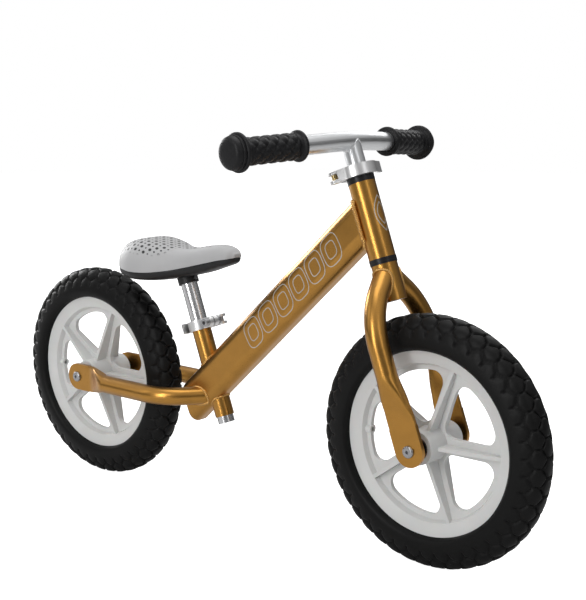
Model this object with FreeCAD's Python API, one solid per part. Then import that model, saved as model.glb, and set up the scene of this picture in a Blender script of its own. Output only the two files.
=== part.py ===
import FreeCAD, Part
import math
import os

# A child's balance bike. Millimetres, +Z up, +X forwards, +Y to the rider's left.
# The origin is on the ground, midway between the two wheels' contact points.

Vector = FreeCAD.Vector
FWD = Vector(1, 0, 0)
SIDE = Vector(0, 1, 0)
UP = Vector(0, 0, 1)

# ---- driving dimensions: the whole bike ----
WHEEL_R = 150.0              # outside radius of both tyres
WHEELBASE = 564.4            # axle to axle
FRAME_ANGLE = 70.0           # head and seat tubes lean back, degrees from level
FIT = 0.05                   # radial clearance of every running or pushed-in fit
WALL = 2.0                   # wall of the large alloy tubes

# ---- tyre and rim ----
TYRE_DEPTH = 40.9            # tread to rim edge
TYRE_HALF_WIDTH = 23.7
RIM_HALF_WIDTH = 14.1
RIM_CHANNEL_DEPTH = 8.1      # rim edge down to the channel that seats the tyre
RIM_CHANNEL_HALF = 9.9
RIM_LIP = 1.7
RIM_LEDGE_DEPTH = 15.0       # rim edge in to the ledge round the web
RIM_LEDGE_HALF = 9.6
WEB_HALF = 2.9
WEB_DEPTH = 17.6             # rim edge in to the flat web
WINDOW_DEPTH = 23.3          # rim edge in to the windows
WINDOW_ROUND = 13.0
SPOKES = 5
SPOKE_HALF = 9.3             # half the width of a spoke's flat web
RIB_HALF = 2.3
RIB_HUB_HALF = 21.0
RIB_RIM_HALF = 9.2
RIB_ROOT = 2.0               # ribs run this far into the hub and the rim
VALVE_BOSS_R = 5.5
VALVE_HOLE_R = 2.8
VALVE_BOSS_PROUD = 1.0       # boss stands into the window

# ---- hub, bearings and axle ----
HUB_HALF = 33.0
HUB_R = 19.6
HUB_WAIST_R = 21.4
HUB_BORE_R = 10.5
BEARING_R = 14.0
BEARING_WIDTH = 8.0
BEARING_INSET = 0.5
RACE_OUTER_BORE_R = 11.9
RACE_INNER_R = 8.3
SEAL_THICK = 0.8
BALL_R = 1.75
BALLS = 8
AXLE_R = 6.0
SPACER_R = 8.6
SPACER_LENGTH = 12.5
BOLT_R = 3.0
BOLT_LENGTH = 18.0
BOLT_HEAD_R = 7.2
BOLT_HEAD_HEIGHT = 3.2
BOLT_HEAD_ROUND = 2.2
BOLT_HOLE_SPARE = 2.0        # threaded hole runs this far past the bolt's end
HEX_FLAT = 4.0               # across flats of the key sockets
HEX_DEPTH = 2.2

# ---- flattened tube ends that carry the axles ----
DROPOUT_THICK = 5.0
DROPOUT_R = 18.6
DROPOUT_HOLE_R = 3.2
FORK_CREASE = 28.0           # axle to the crease where the flat starts to open out
STAY_CREASE = 24.0
FORK_OPENING = 62.0          # crease to where the tube is round
STAY_OPENING = 46.0

# ---- fork ----
LEG_R = 12.5
LEG_LAP = 1.0                # round tube overlaps its flattened end
LEG_STEP = 0.3               # flattened end is this much slimmer where the round tube starts
LEG_OFFSET = 6.5             # dropout's inner face out to the leg's centre line
LEG_BEND_R = 83.0
LEG_BEND_ANGLE = 46.7
LEG_BEND_BELOW_TREAD = 30.0
TYRE_GAP = 18.5              # tread to the bottom of the crown
CROWN_R = 15.5
CROWN_LENGTH = 43.95
STEERER_R = 12.7
CLAMPED_POST_R = 11.1        # stem and seat post
POST_WALL = 1.8

# ---- head tube and headset ----
HEAD_R = 15.9
HEAD_LENGTH = 90.0
HEAD_WALL = 1.9
HEADSET_R = 16.2
HEADSET_GAP = 0.05
LOWER_CUP = 4.0
CROWN_RACE = 3.0
UPPER_CUP = 3.6
TOP_RACE = 3.4
CUP_SLEEVE = 9.0

# ---- main tube ----
MAIN_HEIGHT = 51.0
MAIN_WIDTH = 37.0
MAIN_ROUND = 14.0
MAIN_MEETS_HEAD = 50.4       # up the head tube's axis
MAIN_SIDE_STOP = 8.0         # side walls stop this far behind the head tube's axis
MAIN_END_GAP = 33.1          # rear tyre to the middle of the closed end
MAIN_END_DROP = 16.1         # closed end's middle below the axles
MAIN_END_TILT = 20.0         # closed end's face, its underside edge reaching further
MAIN_END_ROUND = 3.0

# ---- rear stays ----
STAY_R = 12.0
STAY_OFFSET = 10.5
STAY_BEND_R = 63.8
STAY_BEND_ANGLE = 49.9
STAY_MEET_AHEAD = 22.5       # stays' centre lines meet this far ahead of the main tube's

# ---- seat tube, post and saddle ----
SEAT_FROM_END = 52.8         # along the main tube, closed end to the seat tube's axis
SEAT_TUBE_R = 12.7
SEAT_TUBE_BELOW = 48.6       # stub below the main tube's centre line
SEAT_TUBE_ABOVE = 81.3
POST_BELOW = 58.1
SLOT_WIDTH = 3.0
SLOT_LENGTH = 29.0
SADDLE_RISE = -4.9           # socket's mouth above the top of the tyres
SOCKET_R = 13.8
SOCKET_LENGTH = 30.0
POST_IN_SOCKET = 16.0
SADDLE_BOLT_R = 2.6
SADDLE_BOLT_UP = 4.5
SADDLE_BOLT_SHANK_R = 1.6
SADDLE_BOLT_HEAD = 2.0
SADDLE_BOLT_HEX = 2.5
SADDLE_BOLT_HEX_DEPTH = 1.2

# Saddle stations: behind the seat axis at the socket's mouth, half width, seam, crown and
# underside heights above the mouth.
SADDLE_STATIONS = (
    (107.0, 11.0, 24.0, 33.0, 11.0),
    (104.0, 23.0, 22.5, 39.0, 6.5),
    (96.5, 36.0, 20.5, 47.0, 3.5),
    (82.5, 46.0, 18.0, 54.0, 1.5),
    (59.5, 52.0, 16.0, 57.5, 1.7),
    (34.5, 47.0, 16.5, 54.0, 3.2),
    (10.5, 35.0, 19.5, 49.0, 6.7),
    (-14.5, 26.0, 25.0, 49.0, 12.5),
    (-44.5, 21.0, 32.5, 54.5, 20.5),
    (-66.5, 18.0, 38.0, 56.0, 28.0),
    (-79.5, 14.5, 40.5, 53.0, 32.5),
    (-86.5, 8.0, 42.0, 48.0, 36.5),
)
SADDLE_ARCH_POINTS = 9
PAD_OVERHANG = 1.5
PAD_SQUARE = 0.62
PAD_DOME = 0.85
BASE_DOME = 0.6
SEAM_LAP = 1.0               # sections run this far past the seam before it cuts them

# ---- quick-release clamps ----
CLAMP_HEIGHT = 13.2
CLAMP_R = 16.4
CLAMP_SPLIT = 1.6
EAR_REACH = 27.5
EAR_HALF = 8.0
SKEWER_REACH = 22.0
SKEWER_R = 2.5
NUT_R = 5.4
NUT_LENGTH = 7.0
NUT_HEX = 5.0
NUT_HEX_DEPTH = 4.0
WASHER_R = 5.6
WASHER_THICK = 2.7
CAM_GAP = 0.3
CAM_R = 7.0
BARREL_R = 3.6
PRONG_GAP = 6.4
LEVER_R = 18.2
LEVER_THICK = 3.4
LEVER_FROM = 84.0
LEVER_TO = 212.0
LEVER_TIP = 12.5
LEVER_FLARE = 18.0
CLAMP_OVERLAP = 12.0         # tube inside each clamp

# ---- handlebar and grips ----
BAR_R = 11.1
BAR_ABOVE_CLAMP = 29.8
BAR_SWEEP = 8.5
BAR_BEND_R = 336.0
BAR_HALF = 180.0
STEM_INSERT = 92.0
GRIP_START = 82.3
GRIP_R = 13.6
# Grip outline from its inner face outwards: distance along, radius.
GRIP_OUTLINE = (
    (0.0, 15.6), (0.9, 17.2), (2.6, 17.65), (4.3, 17.2), (5.3, 15.4), (6.4, 14.2), (8.0, GRIP_R),
    (83.0, GRIP_R), (85.5, 15.5), (86.6, 20.2), (88.2, 21.6), (90.4, 21.6), (91.6, 20.4),
    (92.2, 19.4), (95.2, 19.3), (96.2, 18.6), (99.6, 18.0), (102.0, 16.6), (103.4, 14.0), (103.9, 10.0),
)
GRIP_END_WALL = 4.0

# ---- derived positions ----
LEAN = 90.0 - FRAME_ANGLE
RIM_R = WHEEL_R - TYRE_DEPTH
BEARING_FACE = HUB_HALF - BEARING_INSET
DROPOUT_INNER = HUB_HALF + SPACER_LENGTH - BEARING_INSET
DROPOUT_OUTER = DROPOUT_INNER + DROPOUT_THICK
CLAMPED_BORE_R = CLAMPED_POST_R + FIT
FORK_HEIGHT = WHEEL_R + TYRE_GAP + CROWN_LENGTH + CROWN_RACE + LOWER_CUP + HEADSET_GAP
STEM_CLAMP_Z = HEAD_LENGTH + UPPER_CUP + HEADSET_GAP + TOP_RACE + FIT
BAR_Z = STEM_CLAMP_Z + CLAMP_HEIGHT + BAR_ABOVE_CLAMP


def leaning(x, z):
    """Placement whose Z runs up a leaning axis through (x, z) and whose X runs forwards."""
    return FreeCAD.Placement(Vector(x, 0, z), FreeCAD.Rotation(SIDE, -LEAN))


FRONT_WHEEL = FreeCAD.Placement(Vector(WHEELBASE / 2, 0, WHEEL_R), FreeCAD.Rotation())
REAR_WHEEL = FreeCAD.Placement(Vector(-WHEELBASE / 2, 0, WHEEL_R), FreeCAD.Rotation())
FORK = leaning(WHEELBASE / 2, WHEEL_R)
HEAD = FORK.multiply(FreeCAD.Placement(Vector(0, 0, FORK_HEIGHT), FreeCAD.Rotation()))

MAIN_TOP = HEAD.multVec(Vector(0, 0, MAIN_MEETS_HEAD))
MAIN_END = Vector(-WHEELBASE / 2 + WHEEL_R + MAIN_END_GAP, 0, WHEEL_R - MAIN_END_DROP)
MAIN_LENGTH = (MAIN_TOP - MAIN_END).Length
MAIN_SLOPE = math.degrees(math.atan2(MAIN_TOP.z - MAIN_END.z, MAIN_TOP.x - MAIN_END.x))
# The main tube's own frame: Z up along it from its closed end, X towards its underside.
MAIN = FreeCAD.Placement(MAIN_END, FreeCAD.Rotation(SIDE, 90.0 - MAIN_SLOPE))

SEAT_CROSS = MAIN.multVec(Vector(0, 0, SEAT_FROM_END))
SEAT = leaning(SEAT_CROSS.x, SEAT_CROSS.z)
SEAT_CLAMP_Z = SEAT_TUBE_ABOVE - CLAMP_OVERLAP
SADDLE_Z = (2 * WHEEL_R + SADDLE_RISE - SEAT_CROSS.z) / math.cos(math.radians(LEAN))
SADDLE = SEAT.multVec(Vector(0, 0, SADDLE_Z))

# Stays lie level with the axles: Z forwards from the rear axle, X downwards.
STAYS = FreeCAD.Placement(Vector(-WHEELBASE / 2, 0, WHEEL_R), FreeCAD.Rotation(SIDE, 90.0))


def rod(radius, length, at=Vector(0, 0, 0), along=UP):
    """Round bar from a point along a direction."""
    return Part.makeCylinder(radius, length, at, along)


def ring(outer, inner, length, at=Vector(0, 0, 0), along=UP):
    """Round tube from a point along a direction."""
    return rod(outer, length, at, along).cut(rod(inner, length, at, along))


def block(low, high):
    """Box between two corners."""
    size = high - low
    return Part.makeBox(size.x, size.y, size.z, low)


def hexagon(across_flats, length, at, along):
    """Hexagonal prism from a point along a direction."""
    corner = across_flats / math.sqrt(3)
    angles = [math.radians(60 * i) for i in range(7)]
    points = [Vector(corner * math.cos(a), corner * math.sin(a), 0) for a in angles]
    prism = Part.Face(Part.makePolygon(points)).extrude(Vector(0, 0, length))
    prism.Placement = FreeCAD.Placement(at, FreeCAD.Rotation(UP, along))
    return prism


def placed(shape, placement):
    """Copy of a shape carried into another frame."""
    moved = shape.copy()
    moved.Placement = placement.multiply(shape.Placement)
    return moved


def turned(points, axis_point=Vector(0, 0, 0), axis=SIDE):
    """Solid made by turning a closed outline of points all the way round an axis."""
    face = Part.Face(Part.makePolygon(list(points) + [points[0]]))
    return face.revolve(axis_point, axis, 360)


def group(shapes):
    """Separate solids kept side by side in one node."""
    return Part.makeCompound([solid for shape in shapes for solid in shape.Solids])


def largest(shape):
    """The biggest solid of a cut that leaves offcuts."""
    return max(shape.Solids, key=lambda solid: solid.Volume)


def save(name, shape):
    """Write one node."""
    shape.exportStep("parts/%s.step" % name)


# ---------------------------------------------------------------- wheels
def tyre():
    """Solid foam tyre seated in the rim's channel, round the Y axis."""
    half = TYRE_HALF_WIDTH
    shoulder = [
        (0.0, 0.0), (0.19, 0.005), (0.37, 0.032), (0.61, 0.125), (0.79, 0.279), (0.92, 0.496),
        (0.985, 0.68), (1.0, 0.80), (0.965, 0.895), (0.84, 0.975),
    ]
    outside = [Vector(0, half * y, WHEEL_R - TYRE_DEPTH * depth) for y, depth in shoulder]
    inside = [
        Vector(0, RIM_HALF_WIDTH, RIM_R),
        Vector(0, RIM_HALF_WIDTH - RIM_LIP, RIM_R - RIM_LIP),
        Vector(0, RIM_CHANNEL_HALF, RIM_R - RIM_CHANNEL_DEPTH),
    ]
    right = outside + inside
    left = [Vector(0, -p.y, p.z) for p in reversed(right) if p.y > 0]
    edge = Part.BSplineCurve()
    edge.interpolate([Vector(0, -p.y, p.z) for p in reversed(outside[1:])] + outside)
    lower = Part.makePolygon([outside[-1]] + inside + left[:len(inside)] + [left[len(inside)]])
    face = Part.Face(Part.Wire([edge.toShape()] + lower.Edges))
    return face.revolve(Vector(0, 0, 0), SIDE, 360)


def rim_section():
    """Outline of the rim, web and hub on one side of the wheel's middle plane."""
    return [
        (RIM_CHANNEL_HALF, RIM_R - RIM_CHANNEL_DEPTH),
        (RIM_HALF_WIDTH - RIM_LIP, RIM_R - RIM_LIP),
        (RIM_HALF_WIDTH, RIM_R),
        (RIM_LEDGE_HALF, RIM_R - RIM_LEDGE_DEPTH),
        (WEB_HALF, RIM_R - WEB_DEPTH),
        (WEB_HALF, HUB_WAIST_R),
        (HUB_HALF, HUB_R),
        (HUB_HALF, BEARING_R),
        (BEARING_FACE - BEARING_WIDTH, BEARING_R),
        (BEARING_FACE - BEARING_WIDTH, HUB_BORE_R),
    ]


def window():
    """One rounded window between two spokes, as a prism through the web."""
    half_step = math.radians(180.0 / SPOKES)
    inset = SPOKE_HALF + WINDOW_ROUND
    reach = RIM_R - WINDOW_DEPTH - WINDOW_ROUND
    spread = half_step - math.asin(inset / reach)
    apex = Vector(inset / math.sin(half_step), 0, 0)
    corners = [Vector(reach * math.cos(s * spread), 0, reach * math.sin(s * spread)) for s in (-1, 1)]
    edges = [
        Part.makeLine(apex, corners[0]),
        Part.Arc(corners[0], Vector(reach, 0, 0), corners[1]).toShape(),
        Part.makeLine(corners[1], apex),
    ]
    outline = Part.Face(Part.Wire(edges)).makeOffset2D(WINDOW_ROUND)
    depth = 2 * RIM_HALF_WIDTH
    prism = outline.extrude(Vector(0, depth, 0))
    prism.translate(Vector(0, -depth / 2, 0))
    return prism


def rib():
    """Raised rib down the middle of one spoke, tall at the hub and low at the rim."""
    near = HUB_R - RIB_ROOT
    far = RIM_R - RIM_LEDGE_DEPTH + RIB_ROOT
    outline = [
        Vector(near, -RIB_HUB_HALF, -RIB_HALF), Vector(far, -RIB_RIM_HALF, -RIB_HALF),
        Vector(far, RIB_RIM_HALF, -RIB_HALF), Vector(near, RIB_HUB_HALF, -RIB_HALF),
    ]
    return Part.Face(Part.makePolygon(outline + [outline[0]])).extrude(Vector(0, 0, 2 * RIB_HALF))


def rim():
    """Moulded wheel: rim, web with windows, ribs, hub barrel and the valve boss."""
    half = rim_section()
    outline = [Vector(0, y, r) for y, r in half] + [Vector(0, -y, r) for y, r in reversed(half)]
    body = turned(outline)
    step = 360.0 / SPOKES
    for i in range(SPOKES):
        hole = window()
        hole.rotate(Vector(0, 0, 0), SIDE, step * (i + 0.5))
        body = body.cut(hole)
    for i in range(SPOKES):
        spoke = rib()
        spoke.rotate(Vector(0, 0, 0), SIDE, step * i)
        body = body.fuse(spoke)
    boss_from = RIM_R - WINDOW_DEPTH - VALVE_BOSS_PROUD
    boss_length = RIM_R - RIM_CHANNEL_DEPTH - RIM_LIP - boss_from
    boss = rod(VALVE_BOSS_R, boss_length, Vector(-boss_from, 0, 0), -FWD)
    body = body.fuse(boss)
    body = body.cut(rod(HUB_BORE_R, 2 * HUB_HALF, Vector(0, -HUB_HALF, 0), SIDE))
    body = body.cut(rod(VALVE_HOLE_R, RIM_R - boss_from, Vector(VALVE_BOSS_PROUD - boss_from, 0, 0), -FWD))
    return body.removeSplitter()


def both_ends(make):
    """A part made for the +Y end of the hub, and its mirror at the -Y end."""
    one = make()
    return [one, one.mirror(Vector(0, 0, 0), SIDE)]


def bearing_outer():
    start = Vector(0, BEARING_FACE - BEARING_WIDTH, 0)
    return ring(BEARING_R - FIT, RACE_OUTER_BORE_R, BEARING_WIDTH, start, SIDE)


def bearing_inner():
    start = Vector(0, BEARING_FACE - BEARING_WIDTH, 0)
    return ring(RACE_INNER_R, AXLE_R + FIT, BEARING_WIDTH, start, SIDE)


def bearing_seals():
    inner_face = Vector(0, BEARING_FACE - BEARING_WIDTH + FIT, 0)
    outer_face = Vector(0, BEARING_FACE - SEAL_THICK - FIT, 0)
    bore = RACE_INNER_R + 2 * FIT
    outside = RACE_OUTER_BORE_R - FIT
    return group([ring(outside, bore, SEAL_THICK, at, SIDE) for at in (inner_face, outer_face)])


def bearing_balls():
    pitch = (RACE_OUTER_BORE_R + RACE_INNER_R) / 2
    middle = BEARING_FACE - BEARING_WIDTH / 2
    angles = [2 * math.pi * i / BALLS for i in range(BALLS)]
    centres = [Vector(pitch * math.cos(a), middle, pitch * math.sin(a)) for a in angles]
    return group([Part.makeSphere(BALL_R, centre) for centre in centres])


def axle_spacer():
    return ring(SPACER_R, AXLE_R + FIT, DROPOUT_INNER - BEARING_FACE, Vector(0, BEARING_FACE, 0), SIDE)


def axle_bolt():
    """Button-head bolt with a key socket, screwed into the axle's end through the dropout."""
    head = rod(BOLT_HEAD_R, BOLT_HEAD_HEIGHT, Vector(0, DROPOUT_OUTER, 0), SIDE)
    crown = [edge for edge in head.Edges if abs(edge.BoundBox.YMin - DROPOUT_OUTER - BOLT_HEAD_HEIGHT) < FIT]
    head = head.makeFillet(BOLT_HEAD_ROUND, crown[:1])
    shank = rod(BOLT_R, BOLT_LENGTH, Vector(0, DROPOUT_OUTER - BOLT_LENGTH, 0), SIDE)
    top = Vector(0, DROPOUT_OUTER + BOLT_HEAD_HEIGHT, 0)
    socket = hexagon(HEX_FLAT, HEX_DEPTH, top, -SIDE)
    return head.fuse(shank).cut(socket).removeSplitter()


def axle():
    """Through axle with a threaded hole for a bolt in each end."""
    shaft = rod(AXLE_R, 2 * DROPOUT_INNER, Vector(0, -DROPOUT_INNER, 0), SIDE)
    depth = BOLT_LENGTH - DROPOUT_THICK + BOLT_HOLE_SPARE
    for side in (-1, 1):
        shaft = shaft.cut(rod(BOLT_R + FIT, depth, Vector(0, side * DROPOUT_INNER, 0), SIDE * -side))
    return shaft


def hub_sleeve():
    half = BEARING_FACE - BEARING_WIDTH
    return ring(RACE_INNER_R - 2 * FIT, AXLE_R + FIT, 2 * half, Vector(0, -half, 0), SIDE)


def save_wheel(end, placement):
    """Every piece of one wheel, with the axle hardware that it turns on."""
    save(end + "_rim", placed(rim(), placement))
    save(end + "_tyre", placed(tyre(), placement))
    save(end + "_bearing_outer_rings", placed(group(both_ends(bearing_outer)), placement))
    save(end + "_bearing_seals", placed(group(both_ends(bearing_seals)), placement))
    save(end + "_bearing_balls", placed(group(both_ends(bearing_balls)), placement))
    save(end + "_bearing_inner_rings", placed(group(both_ends(bearing_inner)), placement))
    save(end + "_hub_sleeve", placed(hub_sleeve(), placement))
    save(end + "_axle", placed(axle(), placement))
    save(end + "_axle_spacers", placed(group(both_ends(axle_spacer)), placement))
    save(end + "_axle_bolts", placed(group(both_ends(axle_bolt)), placement))


# ---------------------------------------------------------------- bent tubes with flattened ends
def oval(z, centre, half_x, half_y, squareness):
    """Closed smooth section across a leg at height z, round at squareness 2."""
    points = []
    for i in range(32):
        a = 2 * math.pi * i / 32
        c = math.copysign(abs(math.cos(a)) ** (2 / squareness), math.cos(a))
        s = math.copysign(abs(math.sin(a)) ** (2 / squareness), math.sin(a))
        points.append(Vector(half_x * c, centre + half_y * s, z))
    curve = Part.BSplineCurve()
    curve.interpolate(points, PeriodicFlag=True)
    return Part.Wire([curve.toShape()])


def bent_path(offset, start, bend_at, bend_radius, bend_angle, tail):
    """Path straight up at an offset from the middle, bent in towards the middle, then straight."""
    angle = math.radians(bend_angle)
    turn = Vector(0, offset - bend_radius, bend_at)

    def on_bend(a):
        return turn + Vector(0, bend_radius * math.cos(a), bend_radius * math.sin(a))

    foot = Vector(0, offset, start)
    leave = on_bend(angle)
    end = leave + Vector(0, -math.sin(angle), math.cos(angle)) * tail
    bend = Part.Arc(on_bend(0), on_bend(angle / 2), leave).toShape()
    return Part.Wire([Part.makeLine(foot, on_bend(0)), bend, Part.makeLine(leave, end)])


def swept(path, radius, at, along):
    """Round bar swept down a path."""
    profile = Part.Wire([Part.makeCircle(radius, at, along)])
    return Part.Solid(path.makePipeShell([profile], True, True))


def flattened_leg(crease, opening, offset, radius, bend_at, bend_radius, bend_angle, tail):
    """Bent tube on the +Y side: axle end at the origin pressed flat, the rest a hollow tube."""
    opened = crease + opening
    centre = DROPOUT_INNER + offset
    flat_centre = DROPOUT_INNER + DROPOUT_THICK / 2
    plate = rod(DROPOUT_R, DROPOUT_THICK, Vector(0, DROPOUT_INNER, 0), SIDE)
    low = Vector(-DROPOUT_R, DROPOUT_INNER, 0)
    high = Vector(DROPOUT_R, DROPOUT_OUTER, crease)
    plate = plate.fuse(block(low, high)).removeSplitter()
    plate = plate.cut(rod(DROPOUT_HOLE_R, DROPOUT_THICK, Vector(0, DROPOUT_INNER, 0), SIDE))
    blends = (0.0, 0.18, 0.5, 0.8, 1.0)
    sections = []
    for blend in blends:
        ease = blend * blend * (3 - 2 * blend)
        half_x = DROPOUT_R + (radius - LEG_STEP - DROPOUT_R) * ease
        half_y = DROPOUT_THICK / 2 + (radius - LEG_STEP - DROPOUT_THICK / 2) * ease
        middle = flat_centre + (centre - flat_centre) * ease
        sections.append(oval(crease + opening * blend, middle, half_x, half_y, 8 - 6 * ease))
    funnel = Part.makeLoft(sections, True)
    path = bent_path(centre, opened - LEG_LAP, bend_at, bend_radius, bend_angle, tail)
    start = Vector(0, centre, opened - LEG_LAP)
    tube = swept(path, radius, start, UP).cut(swept(path, radius - WALL, start, UP))
    return plate.fuse(funnel).fuse(tube)


def fork_leg():
    """Left fork leg, cut to seat on the crown and clear of the race above it."""
    bend_at = WHEEL_R - LEG_BEND_BELOW_TREAD
    bend = (bend_at, LEG_BEND_R, LEG_BEND_ANGLE, 3 * CROWN_R)
    leg = flattened_leg(FORK_CREASE, FORK_OPENING, LEG_OFFSET, LEG_R, *bend)
    crown = rod(CROWN_R, 4 * CROWN_LENGTH, Vector(0, 0, WHEEL_R))
    race_room = rod(HEADSET_R + FIT, FORK_HEIGHT, Vector(0, 0, WHEEL_R + TYRE_GAP + CROWN_LENGTH))
    leg = leg.cut(crown).cut(race_room)
    return largest(leg.cut(block(Vector(-WHEEL_R, -WHEEL_R, 0), Vector(WHEEL_R, 0, 2 * WHEEL_R))))


def stay():
    """Left rear stay, cut to seat on the side of the main tube and clear of the seat tube."""
    angle = math.radians(STAY_BEND_ANGLE)
    centre = DROPOUT_INNER + STAY_OFFSET
    rise = MAIN_END_DROP / math.sin(math.radians(MAIN_SLOPE))
    meet_x = MAIN.multVec(Vector(0, 0, rise)).x + STAY_MEET_AHEAD
    bend_at = meet_x + WHEELBASE / 2 - centre / math.tan(angle) - STAY_BEND_R * math.tan(angle / 2)
    bend = (bend_at, STAY_BEND_R, STAY_BEND_ANGLE, MAIN_WIDTH)
    leg = flattened_leg(STAY_CREASE, STAY_OPENING, STAY_OFFSET, STAY_R, *bend)
    seat_tube = placed(rod(SEAT_TUBE_R, 4 * MAIN_HEIGHT, Vector(0, 0, -2 * MAIN_HEIGHT)), SEAT)
    return largest(placed(leg, STAYS).cut(main_outside()).cut(seat_tube))


# ---------------------------------------------------------------- frame
def main_prism(inset):
    """Rounded box section of the main tube, from its tilted closed end up past the head tube."""
    half_x = MAIN_HEIGHT / 2 - inset
    half_y = MAIN_WIDTH / 2 - inset
    beam = block(Vector(-half_x, -half_y, -MAIN_HEIGHT), Vector(half_x, half_y, MAIN_LENGTH + HEAD_LENGTH))
    long_edges = [edge for edge in beam.Edges if edge.BoundBox.ZLength > MAIN_LENGTH]
    beam = beam.makeFillet(MAIN_ROUND - inset, long_edges)
    beyond = block(Vector(-MAIN_LENGTH, -MAIN_LENGTH, -MAIN_LENGTH), Vector(MAIN_LENGTH, MAIN_LENGTH, inset))
    beyond.rotate(Vector(0, 0, 0), SIDE, MAIN_END_TILT)
    beam = beam.cut(beyond)
    rim_edges = [edge for edge in beam.Edges if edge.BoundBox.ZMax < MAIN_HEIGHT]
    return beam.makeFillet(MAIN_END_ROUND - inset, rim_edges)


def main_outside():
    """The main tube's outer shape, mitred to the head tube."""
    shape = placed(main_prism(0.0), MAIN)
    head = placed(rod(HEAD_R, 3 * HEAD_LENGTH, Vector(0, 0, -HEAD_LENGTH)), HEAD)
    reach = 2 * MAIN_LENGTH
    ahead = block(Vector(-MAIN_SIDE_STOP, -reach, -reach), Vector(reach, reach, reach))
    return shape.cut(head).cut(placed(ahead, HEAD))


def main_tube():
    """Hollow main tube, open at the head tube, with the seat tube let through it."""
    hollow = placed(main_prism(WALL), MAIN)
    through = placed(rod(SEAT_TUBE_R, 4 * MAIN_HEIGHT, Vector(0, 0, -2 * MAIN_HEIGHT)), SEAT)
    return largest(main_outside().cut(hollow).cut(through))


def head_tube():
    return placed(ring(HEAD_R, HEAD_R - HEAD_WALL, HEAD_LENGTH), HEAD)


def headset_cup(flange_from, flange, sleeve_from):
    """Pressed-in bearing cup: a flange outside the head tube and a sleeve inside it."""
    bore = STEERER_R + FIT
    cup = rod(HEADSET_R, flange, Vector(0, 0, flange_from))
    cup = cup.fuse(rod(HEAD_R - HEAD_WALL - FIT, CUP_SLEEVE, Vector(0, 0, sleeve_from)))
    return placed(cup.cut(rod(bore, 2 * HEAD_LENGTH, Vector(0, 0, -HEAD_LENGTH / 2))).removeSplitter(), HEAD)


def headset_race(start, height):
    """Race that turns with the fork, tight on the steerer."""
    return placed(ring(HEADSET_R, STEERER_R + FIT, height, Vector(0, 0, start)), HEAD)


def slotted_tube(bottom, top, forward):
    """Clamped tube with a compression slot in its upper end, facing forwards or backwards."""
    tube = ring(STEERER_R, CLAMPED_BORE_R, top - bottom, Vector(0, 0, bottom))
    foot = top - SLOT_LENGTH
    ends = sorted((0.0, forward * 2 * STEERER_R))
    slot = block(Vector(ends[0], -SLOT_WIDTH / 2, foot), Vector(ends[1], SLOT_WIDTH / 2, top))
    return tube.cut(slot.fuse(rod(SLOT_WIDTH / 2, 2 * STEERER_R, Vector(0, 0, foot), FWD * forward)))


# ---------------------------------------------------------------- quick-release clamps
def clamp_frame(base, start, turn):
    """A clamp's frame: its ears point along X, its lever pivots on the +Y side."""
    spin = FreeCAD.Rotation(UP, turn)
    return base.multiply(FreeCAD.Placement(Vector(0, 0, start), spin))


def clamp_collar():
    """Split collar with two ears drilled for the skewer."""
    ears = block(Vector(0, -EAR_HALF, 0), Vector(EAR_REACH, EAR_HALF, CLAMP_HEIGHT))
    corners = [e for e in ears.Edges if e.BoundBox.XMin > EAR_REACH - FIT and e.BoundBox.YLength > EAR_HALF]
    ears = ears.makeFillet(CLAMP_HEIGHT / 2 - 1.0, corners)
    collar = rod(CLAMP_R, CLAMP_HEIGHT).fuse(ears)
    collar = collar.cut(rod(STEERER_R + FIT, CLAMP_HEIGHT))
    split = block(Vector(0, -CLAMP_SPLIT / 2, 0), Vector(2 * EAR_REACH, CLAMP_SPLIT / 2, CLAMP_HEIGHT))
    drill = rod(SKEWER_R + 4 * FIT, 2 * EAR_HALF, Vector(SKEWER_REACH, -EAR_HALF, CLAMP_HEIGHT / 2), SIDE)
    return collar.cut(split).cut(drill)


def cam_centre():
    """How far out along Y the lever's pivot stands."""
    return EAR_HALF + WASHER_THICK + CAM_GAP + CAM_R


def clamp_nut():
    start = Vector(SKEWER_REACH, -EAR_HALF - NUT_LENGTH, CLAMP_HEIGHT / 2)
    nut = rod(NUT_R, NUT_LENGTH, start, SIDE)
    nut = nut.cut(rod(SKEWER_R + FIT, NUT_LENGTH, start, SIDE))
    return nut.cut(hexagon(NUT_HEX, NUT_HEX_DEPTH, start, SIDE))


def clamp_skewer():
    start = -EAR_HALF - NUT_LENGTH + NUT_HEX_DEPTH
    length = cam_centre() + BARREL_R - 1.0 - start
    return rod(SKEWER_R, length, Vector(SKEWER_REACH, start, CLAMP_HEIGHT / 2), SIDE)


def clamp_washer():
    start = Vector(SKEWER_REACH, EAR_HALF, CLAMP_HEIGHT / 2)
    return ring(WASHER_R, SKEWER_R + FIT, WASHER_THICK, start, SIDE)


def clamp_barrel():
    barrel = rod(BARREL_R, CLAMP_HEIGHT, Vector(SKEWER_REACH, cam_centre(), 0))
    middle = Vector(SKEWER_REACH, 0, CLAMP_HEIGHT / 2)
    return barrel.cut(rod(SKEWER_R + FIT, cam_centre() + BARREL_R - 1.0, middle, SIDE))


def polar(radius, degrees):
    a = math.radians(degrees)
    return Vector(radius * math.cos(a), radius * math.sin(a), 0)


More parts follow.
